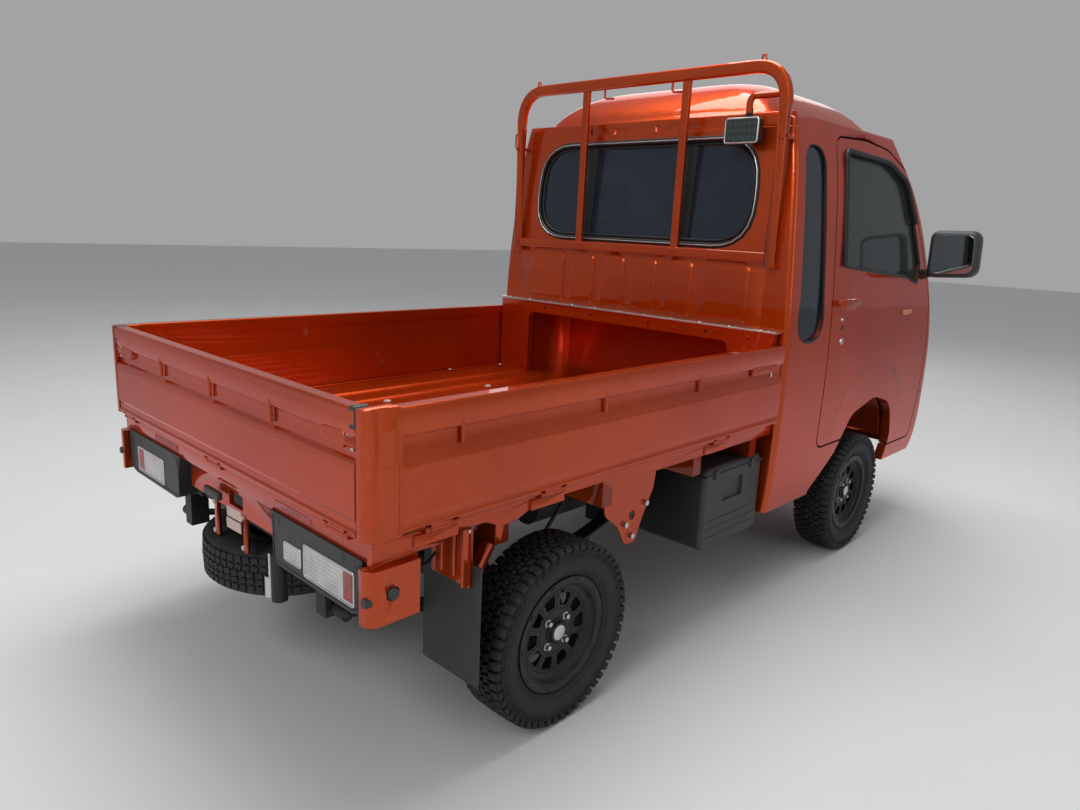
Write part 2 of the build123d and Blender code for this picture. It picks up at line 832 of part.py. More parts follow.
# Stamped hangers ahead of the rear wheel. Columns: y, z, bend radius.
hanger_plate_x = 640.0
hanger_plate = 5.0
hanger_hole_y = 664.0
hanger_hole_z = 492.0
hanger_hole_radius = 15.0
hanger_stay_y = 650.0
hanger_flange_front_y = 570.0
hanger_flange_rear_y = 790.0
hanger_flange = 8.0
hanger_stay_low = 555.0
hanger_corners = (
    (540, deck_bottom, 0),
    (560, 560, 40),
    (610, 470, 20),
    (640, 398, 20),
    (690, 398, 20),
    (735, 470, 40),
    (800, 520, 30),
    (810, 600, 30),
    (800, deck_bottom, 0),
)
with BuildPart() as bed_frame:
    cross_prism(bulkhead_corners, beam_front_y, beam_y)
    slab(-trim_half_width, trim_half_width, cab_rear_y + 0.3, beam_y + 6, beam_top,
         beam_top + trim_height)
    for y in cross_member_y:
        slab(-side_rail_x + 5, side_rail_x - 5, y - cross_member_depth / 2, y + cross_member_depth / 2,
             bed_rail_top, deck_bottom)
    slab(-side_rail_x, side_rail_x, rear_sill_y - 32, rear_sill_y, sill_bottom - 11, deck_bottom)
    slab(-250, 250, rear_sill_y - 32, rear_sill_y - 18, 560, sill_bottom)
    slab(-81, 1, rear_sill_y - 40, rear_sill_y - 10, 575, 615, mode=Mode.SUBTRACT)
    for x in stay_x:
        slab(x - 8, x + 8, stay_y - 6, stay_y + 5, stay_low, 565)
    for sign in (1, -1):
        side_prism(skirt_corners, sign * side_rail_inner_x, sign * side_rail_x)
        for y in side_hinge_y:
            slab(sign * (side_rail_x - 1), sign * (side_rail_x + cover_proud), y - cover_half,
                 y + cover_half, cover_low, cover_high)
        side_prism(mudguard_corners, sign * mudguard_inner, sign * side_rail_inner_x)
        for x in mudguard_ribs:
            add(side_cutter(mudguard_corners, mudguard_rib_rise, min(sign * x, sign * (x + mudguard_rib)),
                            max(sign * x, sign * (x + mudguard_rib))))
        side_prism(hanger_corners, sign * hanger_plate_x, sign * (hanger_plate_x - hanger_plate))
        slab(sign * (hanger_plate_x - 1), sign * side_rail_inner_x, hanger_flange_front_y,
             hanger_flange_rear_y, deck_bottom - hanger_flange, deck_bottom)
        slab(sign * (hanger_plate_x - 1), sign * rail_outer_x, hanger_stay_y - 20, hanger_stay_y + 20,
             hanger_stay_low, bed_rail_top - 2)
        plan_prism(
            (
                (sign * corner_bumper_inner, corner_bumper_front, 0),
                (sign * corner_bumper_outer, corner_bumper_front, 0),
                (sign * corner_bumper_outer, corner_bumper_rear, corner_bumper_bend),
                (sign * corner_bumper_inner, corner_bumper_rear, 0),
            ),
            corner_bumper_low,
            corner_bumper_high,
        )
        slab(sign * corner_bumper_inner, sign * side_rail_x, corner_bumper_front, rear_sill_y,
             corner_bumper_high - 10, sill_bottom + 5)
        slab(sign * 560, sign * (side_rail_x - 5), guard_plate_y, guard_plate_y + guard_plate_thickness,
             500, deck_bottom)
        for y in side_hinge_y:
            rod((sign * pin_x, y - ear_reach, pin_z), (sign * pin_x, y + ear_reach, pin_z), pin_radius)
            for end in (-1, 1):
                outer = y + end * ear_reach
                inner = y + end * (ear_reach - ear_length)
                rod((sign * pin_x, min(inner, outer), pin_z), (sign * pin_x, max(inner, outer), pin_z),
                    eye_radius)
                slab(sign * (side_rail_x - 10), sign * pin_x, inner, outer, pin_z - eye_radius,
                     deck_bottom)
    for x in tail_hinge_x:
        rod((x - ear_reach, tail_pin_y, pin_z), (x + ear_reach, tail_pin_y, pin_z), pin_radius)
        for end in (-1, 1):
            outer = x + end * ear_reach
            inner = x + end * (ear_reach - ear_length)
            rod((min(inner, outer), tail_pin_y, pin_z), (max(inner, outer), tail_pin_y, pin_z),
                eye_radius)
            slab(inner, outer, rear_sill_y - 10, tail_pin_y, pin_z - eye_radius, deck_bottom)
    for sign in (1, -1):
        rod((sign * (corner_bumper_outer - 12), socket_y, socket_z),
            (sign * (corner_bumper_outer + 1), socket_y, socket_z), socket_radius, mode=Mode.SUBTRACT)
        rod((sign * (hanger_plate_x - 20), hanger_hole_y, hanger_hole_z),
            (sign * (hanger_plate_x + 1), hanger_hole_y, hanger_hole_z), hanger_hole_radius,
            mode=Mode.SUBTRACT)
    for spacing in (beam_hole_inner, beam_hole_outer):
        for sign in (1, -1):
            rod((sign * spacing / 2, beam_front_y - 1, beam_hole_z),
                (sign * spacing / 2, beam_y + 1, beam_hole_z), beam_hole_radius, mode=Mode.SUBTRACT)
save(bed_frame, "bed_frame")

# Section of the gates: rounded rim, recessed band and creased lower panel.
# Columns: depth in from the outer face, z.
gate_section = (
    (3, gate_top),
    (0, gate_top - 7),
    (0, gate_top - 35),
    (4, gate_top - 63),
    (12, gate_top - 67),
    (12, gate_top - 111),
    (1, gate_top - 119),
    (0, gate_top - 135),
    (0, 745),
    (3, 738),
    (3, 722),
    (0, 715),
    (2, gate_bottom),
    (gate_thickness, gate_bottom),
    (gate_thickness, gate_top),
)
strap_half = 7.0
hook_radius = 4.5
hook_in = 5.0
hook_high = gate_top - 48
hook_low = gate_top - 104
hook_side_y = (487.0, 945.0, 1447.0)
hook_tail_x = (-328.0, 2.0, 328.0)
step_depth = 3.0
step_low = gate_top - 130
step_high = gate_top - 42
lever_inner = 556.0
lever_low = 898.0
lever_high = 920.0

# Side gates with their round rear corners, hung on the side rails
for name, sign in sides:
    with BuildPart() as gate:
        cross_prism([(sign * (half_width - depth), z, 0) for depth, z in gate_section],
                    gate_front_y, corner_front_y)
        plan_prism(
            (
                (sign * corner_inner_x, corner_front_y, 0),
                (sign * half_width, corner_front_y, 0),
                (sign * half_width, tail_y, 35),
                (sign * corner_inner_x, tail_y, 0),
            ),
            gate_bottom,
            gate_top,
        )
        slab(sign * (gate_inner_x - 1), sign * (gate_inner_x + step_depth), gate_front_y - 1,
             corner_front_y - 20, step_low, step_high, mode=Mode.SUBTRACT)
        for y in hook_side_y:
            hook_x = sign * (half_width - hook_in)
            rod((hook_x, y, hook_low), (hook_x, y, hook_high), hook_radius)
            rod((hook_x - sign * 12, y, hook_high - hook_radius),
                (hook_x, y, hook_high - hook_radius), hook_radius)
        for y in side_hinge_y:
            slab(sign * (gate_inner_x - 1), sign * (half_width + 1), y - notch_reach, y + notch_reach,
                 gate_bottom - 1, notch_top, mode=Mode.SUBTRACT)
            rod((sign * pin_x, y - eye_length / 2, pin_z),
                (sign * pin_x, y + eye_length / 2, pin_z), eye_radius)
            slab(sign * (pin_x - strap_half), sign * (pin_x + strap_half), y - eye_length / 2,
                 y + eye_length / 2, pin_z, notch_top + 1)
            rod((sign * pin_x, y - eye_length, pin_z), (sign * pin_x, y + eye_length, pin_z),
                pin_radius + running_fit, mode=Mode.SUBTRACT)
    save(gate, "gate_" + name)

# Tailgate between the two rear corners
with BuildPart() as tailgate:
    side_prism([(tail_y - depth, z, 0) for depth, z in gate_section], -tailgate_half, tailgate_half)
    slab(-tailgate_half + 20, tailgate_half - 20, tail_inner_y - 1, tail_inner_y + step_depth,
         step_low, step_high, mode=Mode.SUBTRACT)
    for x in hook_tail_x:
        rod((x, tail_y - hook_in, hook_low), (x, tail_y - hook_in, hook_high), hook_radius)
        rod((x, tail_y - hook_in - 12, hook_high - hook_radius),
            (x, tail_y - hook_in, hook_high - hook_radius), hook_radius)
    for sign in (1, -1):
        slab(sign * lever_inner, sign * (tailgate_half - 2), tail_y - 14, tail_y - 2, lever_low,
             lever_high)
    for x in tail_hinge_x:
        slab(x - notch_reach, x + notch_reach, tail_inner_y - 1, tail_y + 1, gate_bottom - 1, notch_top,
             mode=Mode.SUBTRACT)
        rod((x - eye_length / 2, tail_pin_y, pin_z), (x + eye_length / 2, tail_pin_y, pin_z), eye_radius)
        slab(x - eye_length / 2, x + eye_length / 2, tail_pin_y - strap_half, tail_pin_y + strap_half,
             pin_z, notch_top + 1)
        rod((x - eye_length, tail_pin_y, pin_z), (x + eye_length, tail_pin_y, pin_z),
            pin_radius + running_fit, mode=Mode.SUBTRACT)
save(tailgate, "tailgate")

# Rear lamps under the sill, one housing a side
rear_lamp_corners = (
    (276, sill_bottom - 11, 0),
    (680, sill_bottom - 11, 0),
    (680, 520, 20),
    (640, 507, 20),
    (300, 507, 20),
)
rear_lamp_front = 1615.0
rear_lamp_rear = 1675.5
lens_recess = 3.0
# Lens pockets. Columns: left x, right x, lower z, upper z.
lens_rows = (
    (-652, -435, 520, 608),
    (-425, -341, 532, 586),
    (400, 612, 520, 606),
)
with BuildPart() as rear_lamps:
    cross_prism(rear_lamp_corners, rear_lamp_front, rear_lamp_rear)
    cross_prism([(-x, z, bend) for x, z, bend in rear_lamp_corners], rear_lamp_front, rear_lamp_rear)
    for left, right, low, high in lens_rows:
        slab(left, right, rear_lamp_rear - lens_recess, rear_lamp_rear + 1, low, high, mode=Mode.SUBTRACT)
save(rear_lamps, "rear_lamps")

# Mud flaps behind the rear wheels
flap_inner = 520.0
flap_outer = 737.0
flap_low = 240.0
flap_high = 560.0
flap_thickness = 5.0
with BuildPart() as mud_flaps:
    for sign in (1, -1):
        slab(sign * flap_inner, sign * flap_outer, guard_plate_y - flap_thickness, guard_plate_y,
             flap_low, flap_high)
save(mud_flaps, "mud_flaps")

# Battery box on the right, fuel tank on the left, both hung on the frame rail
battery_outer = -700.0
battery_inner = -430.0
battery_front_y = -40.0
battery_rear_y = 345.0
battery_low = 292.0
battery_high = 588.0
battery_bend = 35.0
battery_edge = 18.0
recess_depth = 9.0
stay_front_y = 60.0
stay_rear_y = 240.0
with BuildPart() as battery_box:
    slab(battery_outer, battery_inner, battery_front_y, battery_rear_y, battery_low, battery_high)
    fillet(battery_box.edges().filter_by(Axis.X), battery_bend)
    fillet(battery_box.faces().sort_by(Axis.X)[0].edges(), battery_edge)
    slab(battery_outer - 1, battery_outer + recess_depth, 95, 225, 455, 530, mode=Mode.SUBTRACT)
    slab(battery_inner - 5, -rail_outer_x, stay_front_y, stay_rear_y, bed_rail_bottom + 10,
         bed_rail_bottom + 50)
save(battery_box, "battery_box")

tank_outer = 660.0
tank_front_y = 60.0
tank_rear_y = 500.0
tank_low = 300.0
tank_high = 560.0
tank_bend = 30.0
with BuildPart() as fuel_tank:
    slab(rail_outer_x, tank_outer, tank_front_y, tank_rear_y, tank_low, tank_high)
    fillet(fuel_tank.edges().filter_by(Axis.Y), tank_bend)
    slab(rail_outer_x, rail_outer_x + 40, tank_front_y + 60, tank_rear_y - 60, bed_rail_bottom + 5,
         tank_high)
save(fuel_tank, "fuel_tank")

# Spare wheel, flat under the rear overhang, on a centre hanger
spare_x = 80.0
spare_y = 1416.0
spare_z = 305.0
spare_width = 145.0
spare_radius = 266.0
spare_corners = (
    (60, 20),
    (rim_barrel_radius - 10, 20),
    (rim_barrel_radius, 4),
    (rim_flange_radius, 4),
    (205, 0),
    (245, 8),
    (spare_radius, 26),
    (spare_radius, spare_width - 26),
    (245, spare_width - 8),
    (205, spare_width),
    (rim_flange_radius, spare_width - 4),
    (rim_barrel_radius, spare_width - 4),
    (rim_barrel_radius - 10, spare_width - 20),
    (rim_barrel_radius - 16, 34),
    (60, 34),
)
with BuildPart() as spare_wheel:
    with BuildSketch(Plane((spare_x, spare_y, spare_z), x_dir=(1, 0, 0), z_dir=(0, -1, 0))):
        with BuildLine():
            Polyline(*spare_corners, close=True)
        make_face()
    revolve(axis=Axis((spare_x, spare_y, 0), (0, 0, 1)))
    with Locations((spare_x, spare_y, spare_z + 27)):
        Cylinder(62, 14)
    slab(spare_x - 12, spare_x + 12, spare_y - 12, spare_y + 12, spare_z + 30, bed_rail_bottom)
    slab(-rail_inner_x, rail_inner_x, spare_y - 20, spare_y + 20, bed_rail_bottom, bed_rail_bottom + 20)
save(spare_wheel, "spare_wheel")

# Engine and gearbox as one plain block, under the seats
engine_half_width = 240.0
engine_front_y = -830.0
engine_rear_y = -420.0
engine_low = 250.0
with BuildPart() as engine:
    slab(-engine_half_width, engine_half_width, engine_front_y, engine_rear_y, engine_low,
         floor_z - floor_sheet - 10)
    slab(-rail_inner_x, rail_inner_x, -640, -600, cab_rail_bottom + 20, cab_rail_bottom + 60)
save(engine, "engine")

# Rear axle with its final drive, drums, spindles, spring seats and drive shaft
axle_radius = 35.0
diff_radius = 88.0
shaft_radius = 28.0
shaft_z = 290.0
spring_x = 450.0
spring_width = 50.0
leaf_thickness = 9.0
leaf_count = 3
spring_seat_z = hub_z + axle_radius
with BuildPart() as rear_axle:
    rod((-drum_inner_x - 1, rear_axle_y, hub_z), (drum_inner_x + 1, rear_axle_y, hub_z), axle_radius)
    with Locations((0, rear_axle_y, hub_z)):
        Sphere(diff_radius)
    rod((0, engine_rear_y, shaft_z), (0, rear_axle_y, shaft_z), shaft_radius)
    for sign in (1, -1):
        slab(sign * (spring_x - 30), sign * (spring_x + 30), rear_axle_y - 45, rear_axle_y + 45,
             hub_z - 10, spring_seat_z)
        rod((sign * drum_inner_x, rear_axle_y, hub_z), (sign * drum_outer_x, rear_axle_y, hub_z),
            drum_radius)
        rod((sign * drum_outer_x, rear_axle_y, hub_z), (sign * spindle_end_x, rear_axle_y, hub_z),
            spindle_radius)
save(rear_axle, "rear_axle")

# Leaf springs with their hangers. Columns: half length, height of the ends over the middle.
leaf_rows = (
    (520, 80),
    (400, 46),
    (260, 18),
)
hanger_inner = rail_outer_x
hanger_outer = spring_x - spring_width / 2 - 6
eye_z = spring_seat_z + leaf_thickness * 2.5 + 80
with BuildPart() as leaf_springs:
    for sign in (1, -1):
        start = min(sign * (spring_x - spring_width / 2), sign * (spring_x + spring_width / 2))
        for row, (half, rise) in enumerate(leaf_rows):
            low = spring_seat_z + leaf_thickness * (leaf_count - 1 - row)
            with BuildSketch(side_plane(start)):
                with BuildLine():
                    ThreePointArc((rear_axle_y - half, low + rise), (rear_axle_y, low),
                                  (rear_axle_y + half, low + rise))
                    Line((rear_axle_y + half, low + rise),
                         (rear_axle_y + half, low + rise + leaf_thickness))
                    ThreePointArc((rear_axle_y + half, low + rise + leaf_thickness),
                                  (rear_axle_y, low + leaf_thickness),
                                  (rear_axle_y - half, low + rise + leaf_thickness))
                    Line((rear_axle_y - half, low + rise + leaf_thickness),
                         (rear_axle_y - half, low + rise))
                make_face()
            extrude(amount=spring_width)
        for end in (-1, 1):
            y = rear_axle_y + end * 520
            rod((start, y, eye_z), (start + spring_width, y, eye_z), 17)
            rod((sign * hanger_inner, y, eye_z), (sign * (spring_x + spring_width / 2 + 8), y, eye_z), 8)
            slab(sign * hanger_inner, sign * hanger_outer, y - 28, y + 28, eye_z - 22, bed_rail_top - 20)
save(leaf_springs, "leaf_springs")

# Exhaust: silencer between the rails and a pipe over the axle to the tail
pipe_x = -225.0
pipe_z = 472.0
pipe_radius = 18.0
silencer_radius = 65.0
silencer_z = 415.0
with BuildPart() as exhaust:
    rod((pipe_x, 300, silencer_z), (pipe_x, 720, silencer_z), silencer_radius)
    rod((pipe_x, engine_rear_y, silencer_z), (pipe_x, 301, silencer_z), pipe_radius)
    rod((pipe_x, 700, pipe_z - 20), (pipe_x, 1630, pipe_z), pipe_radius)
    rod((pipe_x, 1630, pipe_z + 20), (pipe_x, 1630, 365), pipe_radius + 3)
    slab(pipe_x - 10, pipe_x + 10, 400, 440, silencer_z, bed_rail_bottom)
save(exhaust, "exhaust")

# Front suspension: a strut over each kingpin, a lower arm and its hanger on the rail
strut_radius = 24.0
coil_radius = 52.0
coil_low_z = 545.0
arm_low_z = 150.0
arm_thickness = 40.0
tower_z = 405.0
strut_low_z = hub_z + knuckle_half_height + clear
arch_space = both_sides(arch_corners, 0, well_half_width, 800)
strut_block = block(-800, 800, -1000, -700, 300, 800) - arch_space
with BuildPart() as front_suspension:
    for sign in (1, -1):
        top = (sign * kingpin_x, front_axle_y, 720)
        rod((sign * kingpin_x, front_axle_y, strut_low_z), top, strut_radius)
        rod((sign * kingpin_x, front_axle_y, coil_low_z), top, coil_radius)
        slab(sign * rail_outer_x, sign * (kingpin_x - 15), front_axle_y - 18, front_axle_y + 18,
             tower_z, tower_z + 40)
        rod((sign * kingpin_x, front_axle_y, arm_low_z),
            (sign * kingpin_x, front_axle_y, arm_low_z + arm_thickness), 26)
        slab(sign * 320, sign * (kingpin_x - 20), front_axle_y - 16, front_axle_y + 16,
             arm_low_z + 5, arm_low_z + 30)
        slab(sign * 320, sign * 350, front_axle_y - 40, front_axle_y + 40, arm_low_z, cab_rail_bottom)
    add(strut_block, mode=Mode.SUBTRACT)
    for sign in (1, -1):
        rod((sign * kingpin_x, front_axle_y, arm_low_z - 1),
            (sign * kingpin_x, front_axle_y, hub_z + knuckle_half_height + upper_pin_length + clear),
            kingpin_radius + running_fit, mode=Mode.SUBTRACT)
save(front_suspension, "front_suspension")

# Steering knuckles with drum and spindle
for name, sign in sides:
    with BuildPart() as knuckle:
        slab(sign * (kingpin_x - 16), sign * (drum_inner_x + 1), front_axle_y - 28, front_axle_y + 28,
             hub_z - knuckle_half_height, hub_z + knuckle_half_height)
        rod((sign * kingpin_x, front_axle_y, hub_z),
            (sign * kingpin_x, front_axle_y,
             hub_z + knuckle_half_height + upper_pin_length), kingpin_radius)
        rod((sign * kingpin_x, front_axle_y, hub_z - knuckle_half_height - lower_pin_length),
            (sign * kingpin_x, front_axle_y, hub_z), kingpin_radius)
        rod((sign * drum_inner_x, front_axle_y, hub_z), (sign * drum_outer_x, front_axle_y, hub_z),
            drum_radius)
        rod((sign * drum_outer_x, front_axle_y, hub_z), (sign * spindle_end_x, front_axle_y, hub_z),
            spindle_radius)
        slab(sign * (kingpin_x - 16), sign * (kingpin_x + 8), front_axle_y + 20, front_axle_y + 120,
             hub_z - 50, hub_z - 30)
    save(knuckle, "knuckle_" + name)

# Rim section across the wheel. Columns: distance out from the wheel's middle, radius.
rim_half = rim_width / 2
disc_out = 33.0
disc_thickness = 10.0
hub_radius = 42.0
cap_radius = 27.0
cap_height = 12.0
bore_radius = spindle_radius + running_fit
hub_face = drum_outer_x + 2 - wheel_x
barrel_inner = rim_barrel_radius - rim_wall
rim_section = (
    (hub_face, bore_radius),
    (hub_face, hub_radius),
    (disc_out - disc_thickness, hub_radius),
    (disc_out - disc_thickness, barrel_inner),
    (-rim_half, barrel_inner),
    (-rim_half, rim_flange_radius),
    (-rim_half + rim_wall, rim_flange_radius),
    (-rim_half + rim_wall, rim_barrel_radius),
    (rim_half - rim_wall, rim_barrel_radius),
    (rim_half - rim_wall, rim_flange_radius),
    (rim_half, rim_flange_radius),
    (rim_half, barrel_inner),
    (disc_out + 6, barrel_inner),
    (disc_out + 6, barrel_inner - 14),
    (disc_out, barrel_inner - 22),
    (disc_out, bore_radius),
)
# One window of the rim: from the inner to the outer radius, with half widths.
window_inner = 74.0
window_outer = 112.0
window_half_in = 14.0
window_half_out = 24.0
window_bend = 8.0

# Tyre section. Columns: distance out from the wheel's middle, radius.
bead_half = rim_half - rim_wall
tyre_half = tyre_width / 2
tyre_section = (
    (-bead_half, rim_barrel_radius),
    (-bead_half, rim_flange_radius + 4),
    (-tyre_half, 208),
    (-tyre_half + 5, 245),
    (-tyre_half + 20, tyre_radius),
    (tyre_half - 20, tyre_radius),
    (tyre_half - 5, 245),
    (tyre_half, 208),
    (bead_half, rim_flange_radius + 4),
    (bead_half, rim_barrel_radius),
)

# Columns: name, side, axle's place along the vehicle.
wheel_rows = (
    ("front_left", 1, front_axle_y),
    ("front_right", -1, front_axle_y),
    ("rear_left", 1, rear_axle_y),
    ("rear_right", -1, rear_axle_y),
)
for name, sign, axle_y in wheel_rows:
    hub = (sign * wheel_x, axle_y, hub_z)
    section_plane = Plane(hub, x_dir=(sign, 0, 0), z_dir=(0, -sign, 0))
    with BuildPart() as rim:
        with BuildSketch(section_plane):
            with BuildLine():
                Polyline(*rim_section, close=True)
            make_face()
        revolve(axis=Axis(hub, (1, 0, 0)))
        with BuildSketch(Plane(hub, x_dir=(0, 1, 0), z_dir=(sign, 0, 0))) as windows:
            with BuildLine():
                Polyline(
                    (window_inner, -window_half_in),
                    (window_outer, -window_half_out),
                    (window_outer, window_half_out),
                    (window_inner, window_half_in),
                    close=True,
                )
            make_face()
            fillet(windows.vertices(), window_bend)
        for turn in range(rim_window_count):
            one = windows.sketch.rotate(Axis(hub, (1, 0, 0)), 360 * turn / rim_window_count)
            extrude(one, amount=disc_out + 1, mode=Mode.SUBTRACT)
        cap_start = (sign * (wheel_x + disc_out), axle_y, hub_z)
        cap_end = (sign * (wheel_x + disc_out + cap_height), axle_y, hub_z)
        rod(cap_start, cap_end, cap_radius)
    save(rim, "rim_" + name)
    with BuildPart() as tyre:
        with BuildSketch(section_plane):
            with BuildLine():
                Polyline(*tyre_section, close=True)
            make_face()
        revolve(axis=Axis(hub, (1, 0, 0)))
    save(tyre, "tyre_" + name)
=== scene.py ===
# %% [markdown]
# # A small drop-side truck in a plain studio
# The solids of the truck come in first and never move. Everything else is dressed around them.
# The box round the bare solids is kept, so that the last cell can print how far the dressing reaches past
# it.

# %% Load the frame
import json
import math

import bmesh
import bpy
from mathutils import Matrix, Vector
from mathutils.bvhtree import BVHTree

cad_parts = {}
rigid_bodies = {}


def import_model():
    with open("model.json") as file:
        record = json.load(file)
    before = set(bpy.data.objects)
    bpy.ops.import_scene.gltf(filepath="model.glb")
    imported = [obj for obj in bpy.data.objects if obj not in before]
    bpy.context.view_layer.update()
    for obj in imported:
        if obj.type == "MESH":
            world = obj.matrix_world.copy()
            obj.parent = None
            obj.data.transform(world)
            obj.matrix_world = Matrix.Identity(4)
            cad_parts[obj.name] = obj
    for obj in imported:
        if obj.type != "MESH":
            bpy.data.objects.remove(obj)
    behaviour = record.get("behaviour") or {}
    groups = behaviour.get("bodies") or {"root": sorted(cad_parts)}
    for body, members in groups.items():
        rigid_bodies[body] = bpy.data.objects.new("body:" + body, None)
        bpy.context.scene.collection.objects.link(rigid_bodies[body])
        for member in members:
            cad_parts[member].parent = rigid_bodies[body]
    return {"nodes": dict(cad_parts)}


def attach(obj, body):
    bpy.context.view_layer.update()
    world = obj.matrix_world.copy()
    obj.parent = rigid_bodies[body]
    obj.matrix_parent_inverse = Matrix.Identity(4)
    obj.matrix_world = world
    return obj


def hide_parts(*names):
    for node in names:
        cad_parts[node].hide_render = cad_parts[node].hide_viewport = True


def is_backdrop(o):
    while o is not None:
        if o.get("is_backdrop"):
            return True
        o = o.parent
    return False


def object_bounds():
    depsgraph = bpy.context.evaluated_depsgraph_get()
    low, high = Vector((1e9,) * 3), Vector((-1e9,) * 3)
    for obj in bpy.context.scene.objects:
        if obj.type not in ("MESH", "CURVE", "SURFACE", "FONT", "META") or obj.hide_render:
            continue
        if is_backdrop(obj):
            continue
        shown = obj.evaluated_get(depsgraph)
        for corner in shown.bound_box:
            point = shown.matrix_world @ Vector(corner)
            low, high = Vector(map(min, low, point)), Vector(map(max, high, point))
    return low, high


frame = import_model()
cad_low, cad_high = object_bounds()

# %% [markdown]
# ## The camera
# A phone held at head height behind the right rear corner took the picture. Its place, its turn and its
# slight tilt were worked out from points with known places on the truck, such as corners of the bed.
# The lens is written as a focal length on a sensor 36 mm wide.

# %% Camera
lens_mm = 25.95
camera_place = Vector((-2.0031, 2.5429, 1.3567))
camera_azimuth = math.radians(223.471)
camera_height = math.radians(12.868)
camera_tilt = math.radians(2.734)


def camera_turn():
    """The camera's turn from its azimuth, its height angle and its tilt."""
    level = math.cos(camera_height)
    out_x, out_y = math.sin(camera_azimuth) * level, -math.cos(camera_azimuth) * level
    ahead = -Vector((out_x, out_y, math.sin(camera_height)))
    right = ahead.cross(Vector((0, 0, 1))).normalized()
    up = right.cross(ahead)
    across = math.cos(camera_tilt) * right + math.sin(camera_tilt) * up
    upright = math.cos(camera_tilt) * up - math.sin(camera_tilt) * right
    return Matrix((across, upright, -ahead)).transposed().to_4x4()


camera = bpy.data.objects.new("camera", bpy.data.cameras.new("camera"))
camera.data.lens = lens_mm
camera.data.clip_end = 200
camera.matrix_world = Matrix.Translation(camera_place) @ camera_turn()
bpy.context.scene.collection.objects.link(camera)
bpy.context.scene.camera = camera
print("camera at", tuple(round(c, 3) for c in camera.location))

# %% [markdown]
# ## Main sizes
# The truck was measured in millimetres. Finishes and shapes both need the places of the wheels, so these
# are written once.

# %% Main sizes
MM = 0.001
front_axle = -837.5
rear_axle = 1062.5
axle_height = 266.0
wheel_middle = 669.0
tyre_radius = 266.0
sides = (("left", 1), ("right", -1))
# Columns: wheel's name, side, axle's place along the truck.
wheels = (
    ("front_left", 1, front_axle),
    ("front_right", -1, front_axle),
    ("rear_left", 1, rear_axle),
    ("rear_right", -1, rear_axle),
)
print("wheelbase in mm:", rear_axle - front_axle)

# %% [markdown]
# ## Writing materials as sums
# A finish is a tree of nodes. Wired by hand in code it is hard to read, so one small class wraps a socket
# and lets Python's own signs add the Math nodes. A second class holds one material, adds any other node
# by its type, and knows the few patterns that most finishes here need.


# %% Shader helpers
class Reading:
    """A value in a material that plus, minus, times and power signs work on."""

    def __init__(self, finish, socket):
        self.finish = finish
        self.socket = socket

    def __add__(self, other):
        return self.finish.maths("ADD", self, other)

    def __sub__(self, other):
        return self.finish.maths("SUBTRACT", self, other)

    def __rsub__(self, other):
        return self.finish.maths("SUBTRACT", other, self)

    def __mul__(self, other):
        return self.finish.maths("MULTIPLY", self, other)

    def __pow__(self, other):
        return self.finish.maths("POWER", self, other)

    __radd__ = __add__
    __rmul__ = __mul__


